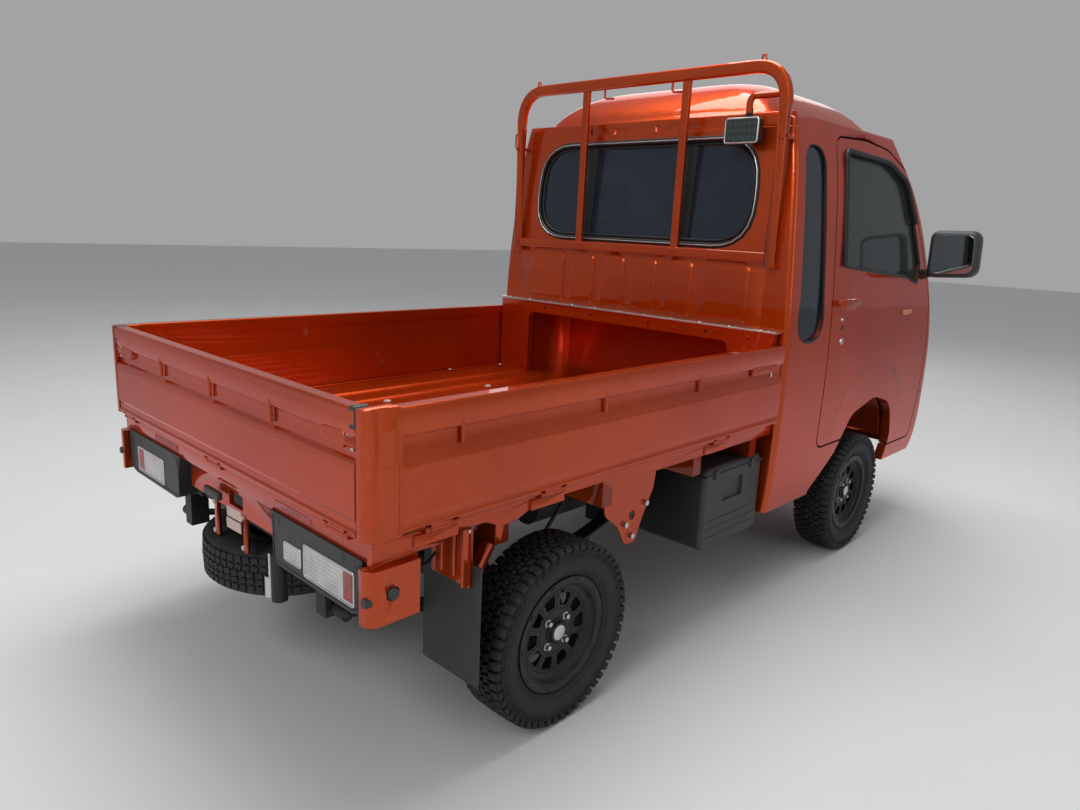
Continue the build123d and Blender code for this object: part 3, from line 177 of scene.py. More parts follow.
class Finish:
    """One material: its nodes, its shader and the patterns that it reads."""

    def __init__(self, name, colour, roughness, **constants):
        self.material = bpy.data.materials.new(name)
        self.material.use_nodes = True
        self.tree = self.material.node_tree
        self.shader = self.tree.nodes["Principled BSDF"]
        self.place = Reading(self, self.add("ShaderNodeTexCoord").outputs["Object"])
        self.feed("Base Color", colour)
        self.feed("Roughness", roughness)
        for socket, value in constants.items():
            self.feed(socket.replace("_", " "), value)

    def put(self, socket, value):
        """Sets a socket to a value, or links a reading to it."""
        if isinstance(value, Reading):
            self.tree.links.new(value.socket, socket)
        elif hasattr(value, "__len__") and len(value) == 3 and len(socket.default_value) == 4:
            socket.default_value = (*value, 1)
        else:
            socket.default_value = value

    def feed(self, name, value):
        self.put(self.shader.inputs[name], value)

    def add(self, kind, settings=None, values=None):
        """Any node, with its settings made first and then its sockets, by name or by place."""
        node = self.tree.nodes.new(kind)
        for name, value in (settings or {}).items():
            setattr(node, name, value)
        for name, value in (values or {}).items():
            self.put(node.inputs[name], value)
        return node

    def read(self, kind, output, settings=None, values=None):
        return Reading(self, self.add(kind, settings, values).outputs[output])

    def maths(self, operation, first, second):
        return self.read("ShaderNodeMath", "Value", {"operation": operation}, {0: first, 1: second})

    def grain(self, scale, detail=3):
        """Cloudy noise from 0 to 1, whose features are about 1 / scale metres wide."""
        return self.read("ShaderNodeTexNoise", "Fac", None,
                         {"Vector": self.place, "Scale": scale, "Detail": detail})

    def cells(self, scale, output="Distance"):
        """A field of small cells, such as the pores of moulded plastic or flakes in paint."""
        return self.read("ShaderNodeTexVoronoi", output, None, {"Vector": self.place, "Scale": scale})

    def bands(self, direction, scale):
        """Soft stripes that follow each other along one axis."""
        return self.read("ShaderNodeTexWave", "Fac", {"bands_direction": direction},
                         {"Vector": self.place, "Scale": scale})

    def step(self, value, low, high):
        """0 below low, 1 above high and a soft change between them."""
        return self.read("ShaderNodeMapRange", "Result", {"interpolation_type": "SMOOTHSTEP"},
                         {"Value": value, "From Min": low, "From Max": high})

    def axes(self):
        """A point's places across the truck, along it and above the ground, in metres."""
        node = self.add("ShaderNodeSeparateXYZ", None, {0: self.place})
        return [Reading(self, node.outputs[axis]) for axis in "XYZ"]

    def size(self, value):
        """A value without its sign."""
        return self.maths("ABSOLUTE", value, 0.0)

    def mix(self, share, first, second):
        """A colour between two others."""
        node = self.add("ShaderNodeMix", {"data_type": "RGBA"}, {0: share, 6: first, 7: second})
        return Reading(self, node.outputs[2])

    def bumps(self, value, depth, edge=0.0):
        """Raises the surface by a reading, up to depth metres, and rounds sharp edges if edge is given."""
        values = {"Height": value, "Distance": depth, "Strength": 1.0}
        if edge:
            values["Normal"] = self.read("ShaderNodeBevel", "Normal", {"samples": 4}, {"Radius": edge})
        self.feed("Normal", self.read("ShaderNodeBump", "Normal", None, values))


print("shader helpers ready")

# %% [markdown]
# ## Paint
# The body is a deep burnt-orange metallic under clear lacquer. Fine flakes shift its colour from spot to
# spot, large soft clouds keep it from looking like plastic, and road dust gathers low on the panels, where
# it also dulls the shine. The lacquer is the coat of the shader, and is the same everywhere.

# %% Paint finishes
finishes = {}
dust_colour = (0.42, 0.33, 0.25)
rust_colour = (0.16, 0.052, 0.02)
# Edges of the pressing over the front wheel, from its rear end. Columns: y, z, in metres.
flare_corners = ((-0.512, 0.593), (-0.594, 0.742), (-0.672, 0.804), (-0.780, 0.843), (-0.942, 0.850),
                 (-1.126, 0.825), (-1.200, 0.771), (-1.284, 0.666), (-1.354, 0.467))
flare_ramp = 0.028
flare_depth = 0.009


def body_paint(name, edge):
    """The body's paint. Its edges look rounded by edge metres."""
    deep = (0.34, 0.032, 0.0025)
    bright = (0.68, 0.083, 0.006)
    roughness = 0.3
    finish = Finish(name, deep, roughness, Metallic=0.8, Coat_Weight=0.8, Coat_Roughness=0.02,
                    Coat_IOR=1.45, Specular_Tint=(0.9, 0.3, 0.12))
    flake = finish.read("ShaderNodeSeparateColor", "Red", None, {0: finish.cells(1400, "Color")})
    cloud = finish.grain(2.5, 2)
    base = finish.mix(finish.step(flake * 0.55 + cloud * 0.45, 0.2, 0.9), deep, bright)
    across, along, up = finish.axes()
    low_down = 1 - finish.step(up, 0.25, 0.65)
    dust = low_down * finish.step(finish.grain(9, 5), 0.42, 0.75) * 0.08
    finish.feed("Base Color", finish.mix(dust, base, dust_colour))
    finish.feed("Roughness", roughness + dust * 0.9 + finish.grain(60, 2) * 0.05)
    # The doors are pressed out over the front wheels. Each line is an edge of that pressing.
    inside = 1.0
    for (y0, z0), (y1, z1) in zip(flare_corners, flare_corners[1:]):
        long = math.hypot(y1 - y0, z1 - z0)
        away = (along - y0) * ((z1 - z0) / long) - (up - z0) * ((y1 - y0) / long)
        inside = finish.maths("MINIMUM", inside, away * -1)
    on_flank = finish.step(finish.size(across), 0.69, 0.71) * finish.step(up, 0.42, 0.6)
    pressed = finish.read("ShaderNodeMapRange", "Result", None,
                          {"Value": inside, "From Min": 0.0, "From Max": flare_ramp})
    finish.bumps(pressed * on_flank, flare_depth, edge)
    return finish.material


finishes["paint"] = body_paint("burnt_orange_paint", 0.0035)
gate_paint = body_paint("burnt_orange_gates", 0.008)
print("paint:", finishes["paint"].name, gate_paint.name)

# %% [markdown]
# ## Metals
# Under the body the frame is painted black and dusty, castings are rougher and a little rusty in spots,
# and bright parts such as nuts, trim and latches are zinc or stainless steel.


# %% Metal finishes
def dusty_metal(name, colour, rust, roughness, metallic, grain_size, dust):
    """Painted or raw metal with dust in its grain and some rust."""
    finish = Finish(name, colour, roughness, Metallic=metallic)
    fine = finish.grain(grain_size, 6)
    rusty = finish.step(finish.grain(14, 6), 0.55, 0.72) * rust
    dirty = finish.mix(finish.step(fine, 0.35, 0.8) * dust, colour, dust_colour)
    finish.feed("Base Color", finish.mix(rusty, dirty, rust_colour))
    finish.feed("Metallic", metallic * (1 - rusty))
    finish.feed("Roughness", roughness + rusty * 0.3 + fine * 0.1)
    finish.bumps(fine, 0.0006, 0.0015)
    return finish.material


# Columns: slot, name, colour, rust, roughness, metallic, grain, dust.
metals = (
    ("chassis", "chassis_black", (0.012, 0.012, 0.013), 0.04, 0.5, 0.2, 160, 0.05),
    ("casting", "cast_iron", (0.05, 0.049, 0.048), 0.35, 0.62, 0.55, 320, 0.12),
    ("steel", "bright_steel", (0.62, 0.62, 0.61), 0.0, 0.24, 1.0, 500, 0.04),
    ("wheel_black", "satin_black_wheel", (0.009, 0.009, 0.01), 0.0, 0.36, 0.2, 240, 0.03),
)
for slot, *settings in metals:
    finishes[slot] = dusty_metal(*settings)
print("metals:", [row[0] for row in metals])

# %% [markdown]
# ## Plastic, rubber, cloth and glass
# Moulded plastic shows fine leather-like pores. Seals are softer and darker. The tyres are dull and grey
# with dust on their faces, and painted shade darkens the grooves between their blocks. The seats have a
# woven cloth. Glass is a thin tint over the cabin.


# %% Other finishes
def moulded(name, colour, roughness, pore, depth):
    """Moulded plastic or rubber with pores pore metres wide."""
    finish = Finish(name, colour, roughness)
    worn = finish.step(finish.grain(7, 4), 0.45, 0.75)
    finish.feed("Base Color", finish.mix(worn * 0.3, colour, [c * 1.9 + 0.01 for c in colour]))
    finish.feed("Roughness", roughness + worn * 0.08)
    finish.bumps(finish.cells(1 / pore), depth, 0.0012)
    return finish.material


def road_rubber():
    """Tyre rubber, slightly dusty on its faces, with painted shade making it nearly black down in the
    grooves of the tread.
    """
    black = (0.008, 0.008, 0.009)
    finish = Finish("road_rubber", black, 0.72)
    across, along, up = finish.axes()
    from_axle = finish.maths("MINIMUM", finish.size(along - rear_axle * MM),
                             finish.size(along - front_axle * MM))
    above_axle = up - axle_height * MM
    radius = (from_axle * from_axle + above_axle * above_axle) ** 0.5
    from_middle = finish.size(finish.size(across) - wheel_middle * MM)
    # Painted shade: the floor of the tread's grooves between the blocks is made nearly black.
    painted_groove_shade = (1 - finish.step(radius, 0.2565, 0.263)) * (1 - finish.step(from_middle, 0.058, 0.064))
    dust = finish.step(finish.grain(28, 6), 0.45, 0.8)
    faces = finish.mix(dust * 0.2, black, (0.1, 0.092, 0.085))
    finish.feed("Base Color", finish.mix(painted_groove_shade * 0.9, faces, (0.001, 0.001, 0.001)))
    finish.feed("Roughness", 0.66 + dust * 0.2)
    finish.bumps(finish.grain(700, 3), 0.0004)
    return finish.material


def seat_weave():
    grey = (0.075, 0.077, 0.082)
    finish = Finish("seat_weave", grey, 0.9, Sheen_Weight=0.3)
    weave = finish.bands("X", 190.0) * finish.bands("Z", 190.0)
    finish.feed("Base Color", finish.mix(weave * 0.5, grey, (0.15, 0.15, 0.155)))
    finish.bumps(weave, 0.0006)
    return finish.material


def window_glass(name, tint, alpha):
    finish = Finish(name, tint, 0.015, Alpha=alpha, IOR=1.5)
    film = finish.step(finish.grain(5, 4), 0.5, 0.9)
    finish.feed("Roughness", 0.01 + film * 0.05)
    finish.material.surface_render_method = "BLENDED"
    return finish.material


def lens_plastic(name, colour, shine):
    """Clear or coloured lamp plastic with fine optic ribs behind its face."""
    finish = Finish(name, colour, 0.12, Coat_Weight=shine)
    optics = finish.bands("X", 42.0) * 0.6 + finish.bands("Z", 30.0) * 0.4
    cloud = finish.step(finish.grain(16, 2), 0.35, 0.65)
    deep = [c * 0.45 for c in colour]
    finish.feed("Base Color", finish.mix(optics * 0.6 + cloud * 0.4, deep, colour))
    finish.bumps(optics, 0.002)
    return finish.material


finishes["dark_plastic"] = moulded("dark_grey_plastic", (0.024, 0.025, 0.026), 0.45, 0.0011, 0.0003)
finishes["rubber"] = moulded("black_seal", (0.004, 0.004, 0.0045), 0.5, 0.0008, 0.0001)
finishes["tyre"] = road_rubber()
finishes["seat_cloth"] = seat_weave()
finishes["glass"] = window_glass("dark_glass", (0.012, 0.02, 0.034), 0.82)
finishes["lamp"] = lens_plastic("clear_lens", (0.55, 0.55, 0.56), 1.0)
clear_glass = window_glass("clear_glass", (0.04, 0.055, 0.055), 0.55)
lamp_cover = window_glass("lamp_cover", (0.5, 0.5, 0.5), 0.16)
red_lens = lens_plastic("red_lens", (0.42, 0.008, 0.006), 0.4)
amber_lens = lens_plastic("amber_lens", (0.8, 0.2, 0.015), 0.4)
pale_label = Finish("pale_label", (0.5, 0.36, 0.33), 0.5).material
mirror_silver = Finish("mirror_glass", (0.75, 0.78, 0.82), 0.02, Metallic=1.0).material
print("finishes by slot:", sorted(finishes))

# %% [markdown]
# ## Dressing a solid
# A solid comes as loose triangles, each with its own corners, so it shades in facets. A copy is merged
# into one skin and shaded smooth wherever its faces meet at a small angle. Large faces win over the small
# ones beside them, so flat panels stay flat in the light. The copy takes the solid's place in the picture,
# and the solid stays for the physics.

# %% Dress the solids
smooth_angle = math.radians(28)
weld_distance = 0.00002
# Columns: slot, finish if it isn't the slot's own, solids that take it.
solid_finishes = (
    ("paint", None, "cab_roof cab_rear_wall cab_front front_bumper cab_side_left cab_side_right door_left"
                    " door_right bed_floor bed_frame cab_floor"),
    ("paint", gate_paint, "gate_left gate_right tailgate"),
    ("glass", None, "cab_glass"),
    ("glass", clear_glass, "door_glass_left door_glass_right"),
    ("lamp", lamp_cover, "headlamps"),
    ("dark_plastic", None, "dashboard battery_box rear_lamps mud_flaps"),
    ("chassis", None, "frame_rails front_suspension leaf_springs fuel_tank exhaust"),
    ("casting", None, "rear_axle knuckle_left knuckle_right engine"),
    ("wheel_black", None, "rim_front_left rim_front_right rim_rear_left rim_rear_right"),
)


def body_of(node):
    """The body that a solid moves with."""
    return frame["nodes"][node].parent.name[len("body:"):]


def shown(name, shape, finish, slot, body, replaced=()):
    """Puts a finished shape in the scene as a piece that rides on a body."""
    mesh = bpy.data.meshes.new(name)
    shape.to_mesh(mesh)
    shape.free()
    mesh.materials.append(finish or finishes[slot])
    mesh.shade_smooth()
    mesh.set_sharp_from_angle(angle=smooth_angle)
    thing = bpy.data.objects.new(name, mesh)
    even = thing.modifiers.new("flat_faces", "WEIGHTED_NORMAL")
    even.keep_sharp = True
    bpy.context.scene.collection.objects.link(thing)
    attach(thing, body)
    if replaced:
        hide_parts(*replaced)
    return thing


def dress(node, slot, finish):
    """Shows a merged, smooth copy of a solid in its place."""
    shape = bmesh.new()
    shape.from_mesh(frame["nodes"][node].data)
    bmesh.ops.remove_doubles(shape, verts=shape.verts, dist=weld_distance)
    return shown(node + "_skin", shape, finish, slot, body_of(node), (node,))


dressed = [dress(node, slot, finish) for slot, finish, names in solid_finishes for node in names.split()]
print("dressed:", len(dressed))

# %% [markdown]
# ## Shapes in millimetres
# Shapes are made in millimetres and become metres when they are finished. Boxes, rods, plates and bent
# wires make nearly all small hardware. Each starts from a bmesh operator, and a bevel takes the hardness
# off its edges, which is what makes a part look made. What is the same on both sides is made once, on the
# left, and gets its twin from both().

# %% Shape helpers
# How an outline's two coordinates and its depth are placed, by the axis that it faces.
FACING = {
    "x": lambda a, b, depth: Vector((depth, a, b)),
    "y": lambda a, b, depth: Vector((a, depth, b)),
    "z": lambda a, b, depth: Vector((a, b, depth)),
}


def turned_by(degrees, axis):
    return Matrix.Rotation(math.radians(degrees), 4, axis)


def round_off(shape, verts, amount, steps=2, limit=30):
    """Bevels the edges among these vertices that are sharper than limit degrees."""
    near = {edge for vert in verts for edge in vert.link_edges}
    sharp = [edge for edge in near if edge.is_manifold and edge.calc_face_angle() > math.radians(limit)]
    bmesh.ops.bevel(shape, geom=sharp, offset=amount, offset_type="OFFSET", segments=steps, profile=0.5,
                    affect="EDGES", material=-1, clamp_overlap=True)


def block(shape, place, size, soft=0.0, steps=1):
    """A box of one size, put in its place by a matrix."""
    made = bmesh.ops.create_cube(shape, size=1, matrix=place @ Matrix.Diagonal((*size, 1)))["verts"]
    if soft:
        round_off(shape, made, soft, steps)


def box(shape, corner, opposite, soft=1.5, steps=2, turn=None):
    """A box between two opposite corners, turned about its middle if asked, with rounded edges."""
    corner, opposite = Vector(corner), Vector(opposite)
    place = Matrix.Translation((corner + opposite) / 2) @ (turn or Matrix.Identity(4))
    block(shape, place, [abs(c) for c in opposite - corner], soft, steps)


def rod(shape, start, end, radius, end_radius=None, soft=0.0, sides=20):
    """A round bar or cone from one point to another."""
    start, end = Vector(start), Vector(end)
    way = end - start
    place = Matrix.Translation((start + end) / 2) @ way.to_track_quat("Z", "Y").to_matrix().to_4x4()
    far = radius if end_radius is None else end_radius
    made = bmesh.ops.create_cone(shape, cap_ends=True, segments=sides, radius1=radius, radius2=far,
                                 depth=way.length, matrix=place)["verts"]
    if soft:
        round_off(shape, made, soft, 2, 50)


def turned(shape, section, facing, centre=(0, 0, 0), steps=48):
    """A round thing: an outline of (depth, radius) spun about an axis through its centre."""
    place = FACING[facing]
    verts = [shape.verts.new(Vector(centre) + place(0, radius, depth)) for depth, radius in section]
    edges = [shape.edges.new(pair) for pair in zip(verts, verts[1:])]
    bmesh.ops.spin(shape, geom=verts + edges, cent=centre, axis=place(0, 0, 1), dvec=(0, 0, 0),
                   angle=math.tau, steps=steps, use_merge=True)
    bmesh.ops.remove_doubles(shape, verts=shape.verts, dist=0.01)
    bmesh.ops.recalc_face_normals(shape, faces=shape.faces)


def bent(corners, closed=True, steps=6):
    """Points of an outline whose corners, given as (a, b, bend), are rounded."""
    points = []
    count = len(corners)
    for i, (a, b, bend) in enumerate(corners):
        here = Vector((a, b))
        if not bend or (not closed and i in (0, count - 1)):
            points.append(here)
            continue
        before = Vector(corners[i - 1][:2]) - here
        after = Vector(corners[(i + 1) % count][:2]) - here
        half = before.angle(after) / 2
        reach = min(bend / math.tan(half), before.length * 0.49, after.length * 0.49)
        start, end = here + before.normalized() * reach, here + after.normalized() * reach
        for step in range(steps + 1):
            t = step / steps
            points.append((1 - t) ** 2 * start + 2 * t * (1 - t) * here + t * t * end)
    return points


def strip(corners, facing, depth, closed=True, steps=6):
    """Points in space along a rounded outline at one depth."""
    return [FACING[facing](a, b, depth) for a, b in bent(corners, closed, steps)]


def plate(shape, corners, facing, near, far, soft=1.0, steps=2):
    """A rounded outline given thickness between two depths."""
    verts = [shape.verts.new(point) for point in strip(corners, facing, near)]
    grown = bmesh.ops.extrude_face_region(shape, geom=[shape.faces.new(verts)])["geom"]
    far_verts = [item for item in grown if isinstance(item, bmesh.types.BMVert)]
    bmesh.ops.translate(shape, verts=far_verts, vec=FACING[facing](0, 0, far - near))
    made = verts + far_verts
    faces = list({face for vert in made for face in vert.link_faces})
    bmesh.ops.recalc_face_normals(shape, faces=faces)
    if soft:
        round_off(shape, made, soft, steps, 60)


def path_curve(name, points, closed):
    """A curve through points of two or three numbers, and the object that holds it."""
    curve = bpy.data.curves.new(name, "CURVE")
    curve.dimensions = "3D" if len(points[0]) == 3 else "2D"
    spline = curve.splines.new("POLY")
    spline.points.add(len(points) - 1)
    for point, place in zip(spline.points, points):
        point.co = (*Vector(place).to_3d(), 1)
    spline.use_cyclic_u = closed
    return curve, bpy.data.objects.new(name, curve)


def wire(shape, points, radius, closed=False, section=None, sides=3):
    """A bar bent along points. Its section is round, or else an outline of (a, b, bend) corners."""
    curve, holder = path_curve("wire", points, closed)
    curve.use_fill_caps = True
    if section:
        former = path_curve("section", bent(section, steps=3), True)[1]
        curve.bevel_mode = "OBJECT"
        curve.bevel_object = former
        curve.twist_mode = "Z_UP"
        bpy.context.scene.collection.objects.link(holder)
        bpy.context.view_layer.update()
        mesh = bpy.data.meshes.new_from_object(holder.evaluated_get(bpy.context.evaluated_depsgraph_get()))
        bpy.data.objects.remove(former)
    else:
        curve.bevel_depth = radius
        curve.bevel_resolution = sides
        mesh = bpy.data.meshes.new_from_object(holder)
    shape.from_mesh(mesh)
    bpy.data.objects.remove(holder)


def both(shape):
    """Adds the other side's twin of everything made so far."""
    twin = bmesh.ops.duplicate(shape, geom=shape.verts[:] + shape.edges[:] + shape.faces[:])["geom"]
    verts = [item for item in twin if isinstance(item, bmesh.types.BMVert)]
    bmesh.ops.scale(shape, verts=verts, vec=(-1, 1, 1))
    bmesh.ops.remove_doubles(shape, verts=shape.verts, dist=0.001)
    bmesh.ops.recalc_face_normals(shape, faces=shape.faces)
    return shape


def piece(name, shape, slot, body="truck", finish=None, replaced=()):
    """Turns a shape in millimetres into a piece of the truck."""
    bmesh.ops.remove_doubles(shape, verts=shape.verts, dist=0.001)
    bmesh.ops.transform(shape, matrix=Matrix.Scale(MM, 4), verts=shape.verts)
    return shown(name, shape, finish, slot, body, replaced)


print("shape helpers ready")

# %% [markdown]
# ## Tyres
# All-terrain tyres have a round carcass with rows of separate rubber blocks. Modelling the blocks one by
# one beats a bump map, because they show against the sky at the tyre's edge. One tyre is made once, facing
# outwards along x, and is placed at each wheel by turning it.

# %% Tyres
block_height = 8.5
pitches = 54
pitch_angle = math.tau / pitches
# Right half of the carcass's section. Columns: distance from the middle, radius.
carcass_half = (
    (0, 257.5), (30, 257), (52, 254), (64, 248), (69, 240), (70.5, 232), (73, 222), (73, 206), (70, 192),
    (64, 180), (57, 171), (54, 170), (53, 152),
)
# Rows of blocks. Columns: middle, width, length along the tread, slant in degrees, shift in pitches.
block_rows = (
    (-10, 16, 22, 24, 0.0),
    (10, 16, 22, -24, 0.5),
    (-31, 19, 21, -20, 0.3),
    (31, 19, 21, 20, 0.8),
)
# Rings on the sidewall. Columns: radius, distance from the middle, thickness.
wall_rings = ((241, 69.4, 2.0), (218, 73.0, 1.0), (184, 66.4, 1.4))


def on_wheel(turn, across, radius):
    """A place at some turn round a wheel's axle."""
    return Matrix.Rotation(turn, 4, "X") @ Matrix.Translation((across, 0, radius))


def circle(across, radius, steps=72):
    """Points round a wheel's axle."""
    turns = (math.tau * k / steps for k in range(steps))
    return [Vector((across, radius * math.cos(a), radius * math.sin(a))) for a in turns]


def tread_block(shape, turn, middle, size, slant, crown):
    """One block, set on the tread at an angle round the wheel."""
    place = on_wheel(turn, middle, tyre_radius - crown - size[2] / 2)
    block(shape, place @ turned_by(slant, "Z"), size, 1.4)


def shoulder(shape, side, turn, wide):
    """A block on the shoulder, with the lug below it and two saw teeth on the sidewall."""
    tread_block(shape, turn, side * (54.5 + wide), (25, 22, block_height + 6), side * 6, 2.2)
    lug = on_wheel(turn, side * (66.5 + wide), 249) @ turned_by(side * 22, "Y")
    block(shape, lug, (8, 21 - 4 * wide, 22), 1.4)
    for tooth in (-1, 1):
        place = on_wheel(turn + tooth * pitch_angle / 4, side * 71.4, 229)
        block(shape, place @ turned_by(tooth * 38, "X"), (4.4, 3.6, 15))


def tyre_mesh():
    """A tyre about the x axis, with its outer face towards +x."""
    shape = bmesh.new()
    turned(shape, [(-x, r) for x, r in reversed(carcass_half[1:])] + list(carcass_half), "x", steps=96)
    for pitch in range(pitches):
        for middle, width, length, slant, shift in block_rows:
            for part in (-1, 1):
                turn = (pitch + shift) * pitch_angle + part * length * 0.26 / tyre_radius
                size = (width, length * 0.46, block_height + 3)
                tread_block(shape, turn, middle, size, slant, abs(middle) * 0.02)
        for side, offset in ((-1, 0.75), (1, 0.25)):
            shoulder(shape, side, (pitch + offset) * pitch_angle, pitch % 2)
    for radius, across, thick in wall_rings:
        for side in (-1, 1):
            wire(shape, circle(side * across, radius), thick, closed=True, sides=1)
    return shape


def at_wheel(made, wheel, title, slot, replaced=()):
    """A copy of a shape made about the x axis, set at a wheel and turned to face outwards."""
    name, side, y = wheel
    shape = made.copy()
    place = Matrix.Translation((side * wheel_middle, y, axle_height)) @ turned_by(90 - side * 90, "Z")
    bmesh.ops.transform(shape, matrix=place, verts=shape.verts)
    return piece(title + name, shape, slot, "wheel_" + name, replaced=replaced)


tyre_shape = tyre_mesh()
for wheel in wheels:
    tyre = at_wheel(tyre_shape, wheel, "tyre_tread_", "tyre", ("tyre_" + wheel[0],))
print("triangles in a tyre:", sum(len(face.vertices) - 2 for face in tyre.data.polygons))

# %% [markdown]
# ## Wheel details
# The wheels are satin black with ten windows, four bright nuts, a plain cap and a stepped lip with short
# raised marks. The solid has the windows already, so only the small things are added to it.

# %% Rims, nuts and caps
nut_count = 4
nut_circle = 50.0
disc_face = 33.0
windows = 10
# Raised rings. Columns: radius, thickness, distance from the wheel's middle.
rim_rings = ((35, 4.0, disc_face + 1), (66, 2.2, disc_face - 0.6), (120, 2.0, disc_face), (141.5, 2.2, 57.5),
             (165, 2.2, 58))
# Outlines of the cap's face and of the hub's collar. Columns: height over the disc, radius.
cap_face = ((11, 22.5), (13.4, 22), (14.6, 18), (15, 0.01))
hub_collar = ((-1, 33), (7, 30), (12, 28), (13, 26), (12.4, 22))


def over_disc(outline):
    return [(disc_face + height, radius) for height, radius in outline]


def nut_mesh():
    """Four wheel nuts and the plain face of the centre cap."""
    shape = bmesh.new()
    for k in range(nut_count):
        a = math.tau * (k + 0.5) / nut_count
        y, z = nut_circle * math.sin(a), nut_circle * math.cos(a)
        rod(shape, (disc_face - 2, y, z), (disc_face + 1.5, y, z), 11, soft=0.6)
        rod(shape, (disc_face + 1, y, z), (disc_face + 13, y, z), 8.6, 7.6, soft=1.2, sides=6)
    turned(shape, over_disc(cap_face), "x")
    return shape


def rim_detail_mesh():
    """The raised rings, a mark on the lip at each window, a rib on each spoke, the collar and the valve."""
    shape = bmesh.new()
    for radius, thick, across in rim_rings:
        wire(shape, circle(across, radius), thick, closed=True, sides=2)
    for k in range(windows):
        mark = on_wheel(-math.tau * (k + 0.5) / windows, 59.25, 157)
        block(shape, mark, (3.5, 18, 4), 0.8)
        rib = on_wheel(-math.tau * k / windows, disc_face + 0.2, 93)
        block(shape, rib, (2.4, 6, 48), 1.2, 2)
    turned(shape, over_disc(hub_collar), "x")
    rod(shape, (disc_face + 4, 0, 131), (disc_face + 22, 0, 125), 4, 3.2, soft=0.6)
    return shape


rim_details, nuts = rim_detail_mesh(), nut_mesh()
for wheel in wheels:
    at_wheel(rim_details, wheel, "rim_detail_", "wheel_black")
    at_wheel(nuts, wheel, "wheel_nuts_", "steel")
print("wheels dressed:", len(wheels))

# %% [markdown]
# ## The spare
# The spare hangs flat under the tail on a plate and a bolt. Its tyre has an ordinary road pattern of
# zigzag ribs with side grooves, which shows well in the picture between the lamps.

# %% Spare wheel
spare_centre = Vector((80.0, 1416.0, 377.5))
spare_pitches = 64
# Lower half of the tyre's section and the rim's section. Columns: height, radius.
spare_half = (
    (-52, 150), (-58, 172), (-70, 190), (-72.5, 212), (-70, 238), (-60, 254), (-40, 258), (0, 259.5),
)
spare_rim_section = (
    (-62, 140), (-68, 150), (-68, 168), (-62, 168), (-58, 152), (-20, 146), (20, 146), (58, 152), (62, 168),
    (68, 168), (68, 150), (40, 140), (-30, 136), (-44, 118), (-40, 80), (-52, 62), (-52, 30),
)
# Rows of ribs. Columns: height, width, slant in degrees.
spare_rows = ((0, 17, 15), (20, 15, -18), (-20, 15, 18), (42, 19, 8), (-42, 19, -8))


def spare_tyre():
    shape = bmesh.new()
    turned(shape, list(spare_half) + [(-z, r) for z, r in reversed(spare_half[:-1])], "z", steps=96)
    for pitch in range(spare_pitches):
        for number, (height, width, slant) in enumerate(spare_rows):
            turn = Matrix.Rotation(math.tau * (pitch + 0.5 * (number % 2)) / spare_pitches, 4, "Z")
            out = Matrix.Translation((261.5 - abs(height) * 0.05, 0, height))
            block(shape, turn @ out @ turned_by(slant, "X"), (8, 21, width), 1.0)
    return shape


def spare_rim():
    """A plain steel wheel lying flat, with its plate and bolt."""
    shape = bmesh.new()
    turned(shape, spare_rim_section, "z", steps=72)
    rod(shape, (0, 0, -58), (0, 0, -40), 62, soft=2, sides=40)
    rod(shape, (0, 0, -60), (0, 0, 118), 12, soft=1)
    rod(shape, (0, 0, -68), (0, 0, -58), 17, soft=1, sides=6)
    return shape


tyre_lying, rim_lying = spare_tyre(), spare_rim()
for shape in (tyre_lying, rim_lying):
    bmesh.ops.translate(shape, verts=shape.verts, vec=spare_centre)
box(rim_lying, (-315, 1396, 495), (315, 1436, 515), 3)
piece("spare_tyre", tyre_lying, "tyre", replaced=("spare_wheel",))
piece("spare_rim", rim_lying, "chassis")
print("spare at", tuple(spare_centre))

# %% [markdown]
# ## Windows
# Each window sits in a black rubber seal that covers the step from paint to glass. A seal has to lie on
# the curved skin of the cab, so its points are found by shooting a line from outside at the solids and
# taking the depth of the hit. The same trick places everything else that is stuck on the cab.

# %% Seals and window bars
cab_nodes = "cab_roof cab_rear_wall cab_front front_bumper cab_side_left cab_side_right door_left door_right"
# The outlines of the openings, with columns along, up, bend radius.
rear_window = ((-548, 1318, 165), (-535, 1708, 170), (535, 1708, 170), (548, 1318, 165))
screen = ((-652, 1222, 60), (-588, 1722, 70), (588, 1722, 70), (652, 1222, 60))
quarter = ((-133, 985, 88), (-150, 1690, 70), (-318, 1690, 74), (-340, 985, 95))
pane = ((-492, 1262, 25), (-492, 1698, 35), (-930, 1688, 250), (-1120, 1622, 110), (-1235, 1450, 700),
        (-1330, 1270, 20), (-1310, 1180, 25), (-1180, 1212, 100))


def skin_tree(names):
    """The triangles of some solids, in millimetres, ready to be hit by lines."""
    verts, faces = [], []
    for node in names.split():
        mesh = frame["nodes"][node].data
        start = len(verts)
        verts += [vert.co / MM for vert in mesh.vertices]
        faces += [[start + i for i in face.vertices] for face in mesh.polygons]
    return BVHTree.FromPolygons(verts, faces)


cab_tree = skin_tree(cab_nodes)
far_outside = 3000


def on_skin(facing, a, b, side, tree=cab_tree):
    """How deep the skin is at a place, looking along one axis from one side."""
    place = FACING[facing]
    hit = tree.ray_cast(place(a, b, side * far_outside), place(0, 0, -side))[0]
    return None if hit is None else hit["xyz".index(facing)]


def bead(shape, corners, facing, side, proud, radius, grow=14.0, closed=True):
    """A round bead on the skin along the edge of an opening. Its depth is read grow outside the edge."""
    points = bent(corners, closed)
    middle = sum(points, Vector((0, 0))) / len(points)
    line = []
    for point in points:
        depth = on_skin(facing, *(point + (point - middle).normalized() * grow), side)
        if depth is not None:
            line.append(FACING[facing](*point, depth + side * proud))
    wire(shape, line, radius, closed)


def shrunk(corners, middle, across, up, bends):
    """An outline drawn in towards a middle, by shares for its width, its height and its bends."""
    a0, b0 = middle
    return [(a0 + (a - a0) * across, b0 + (b - b0) * up, bend * bends) for a, b, bend in corners]


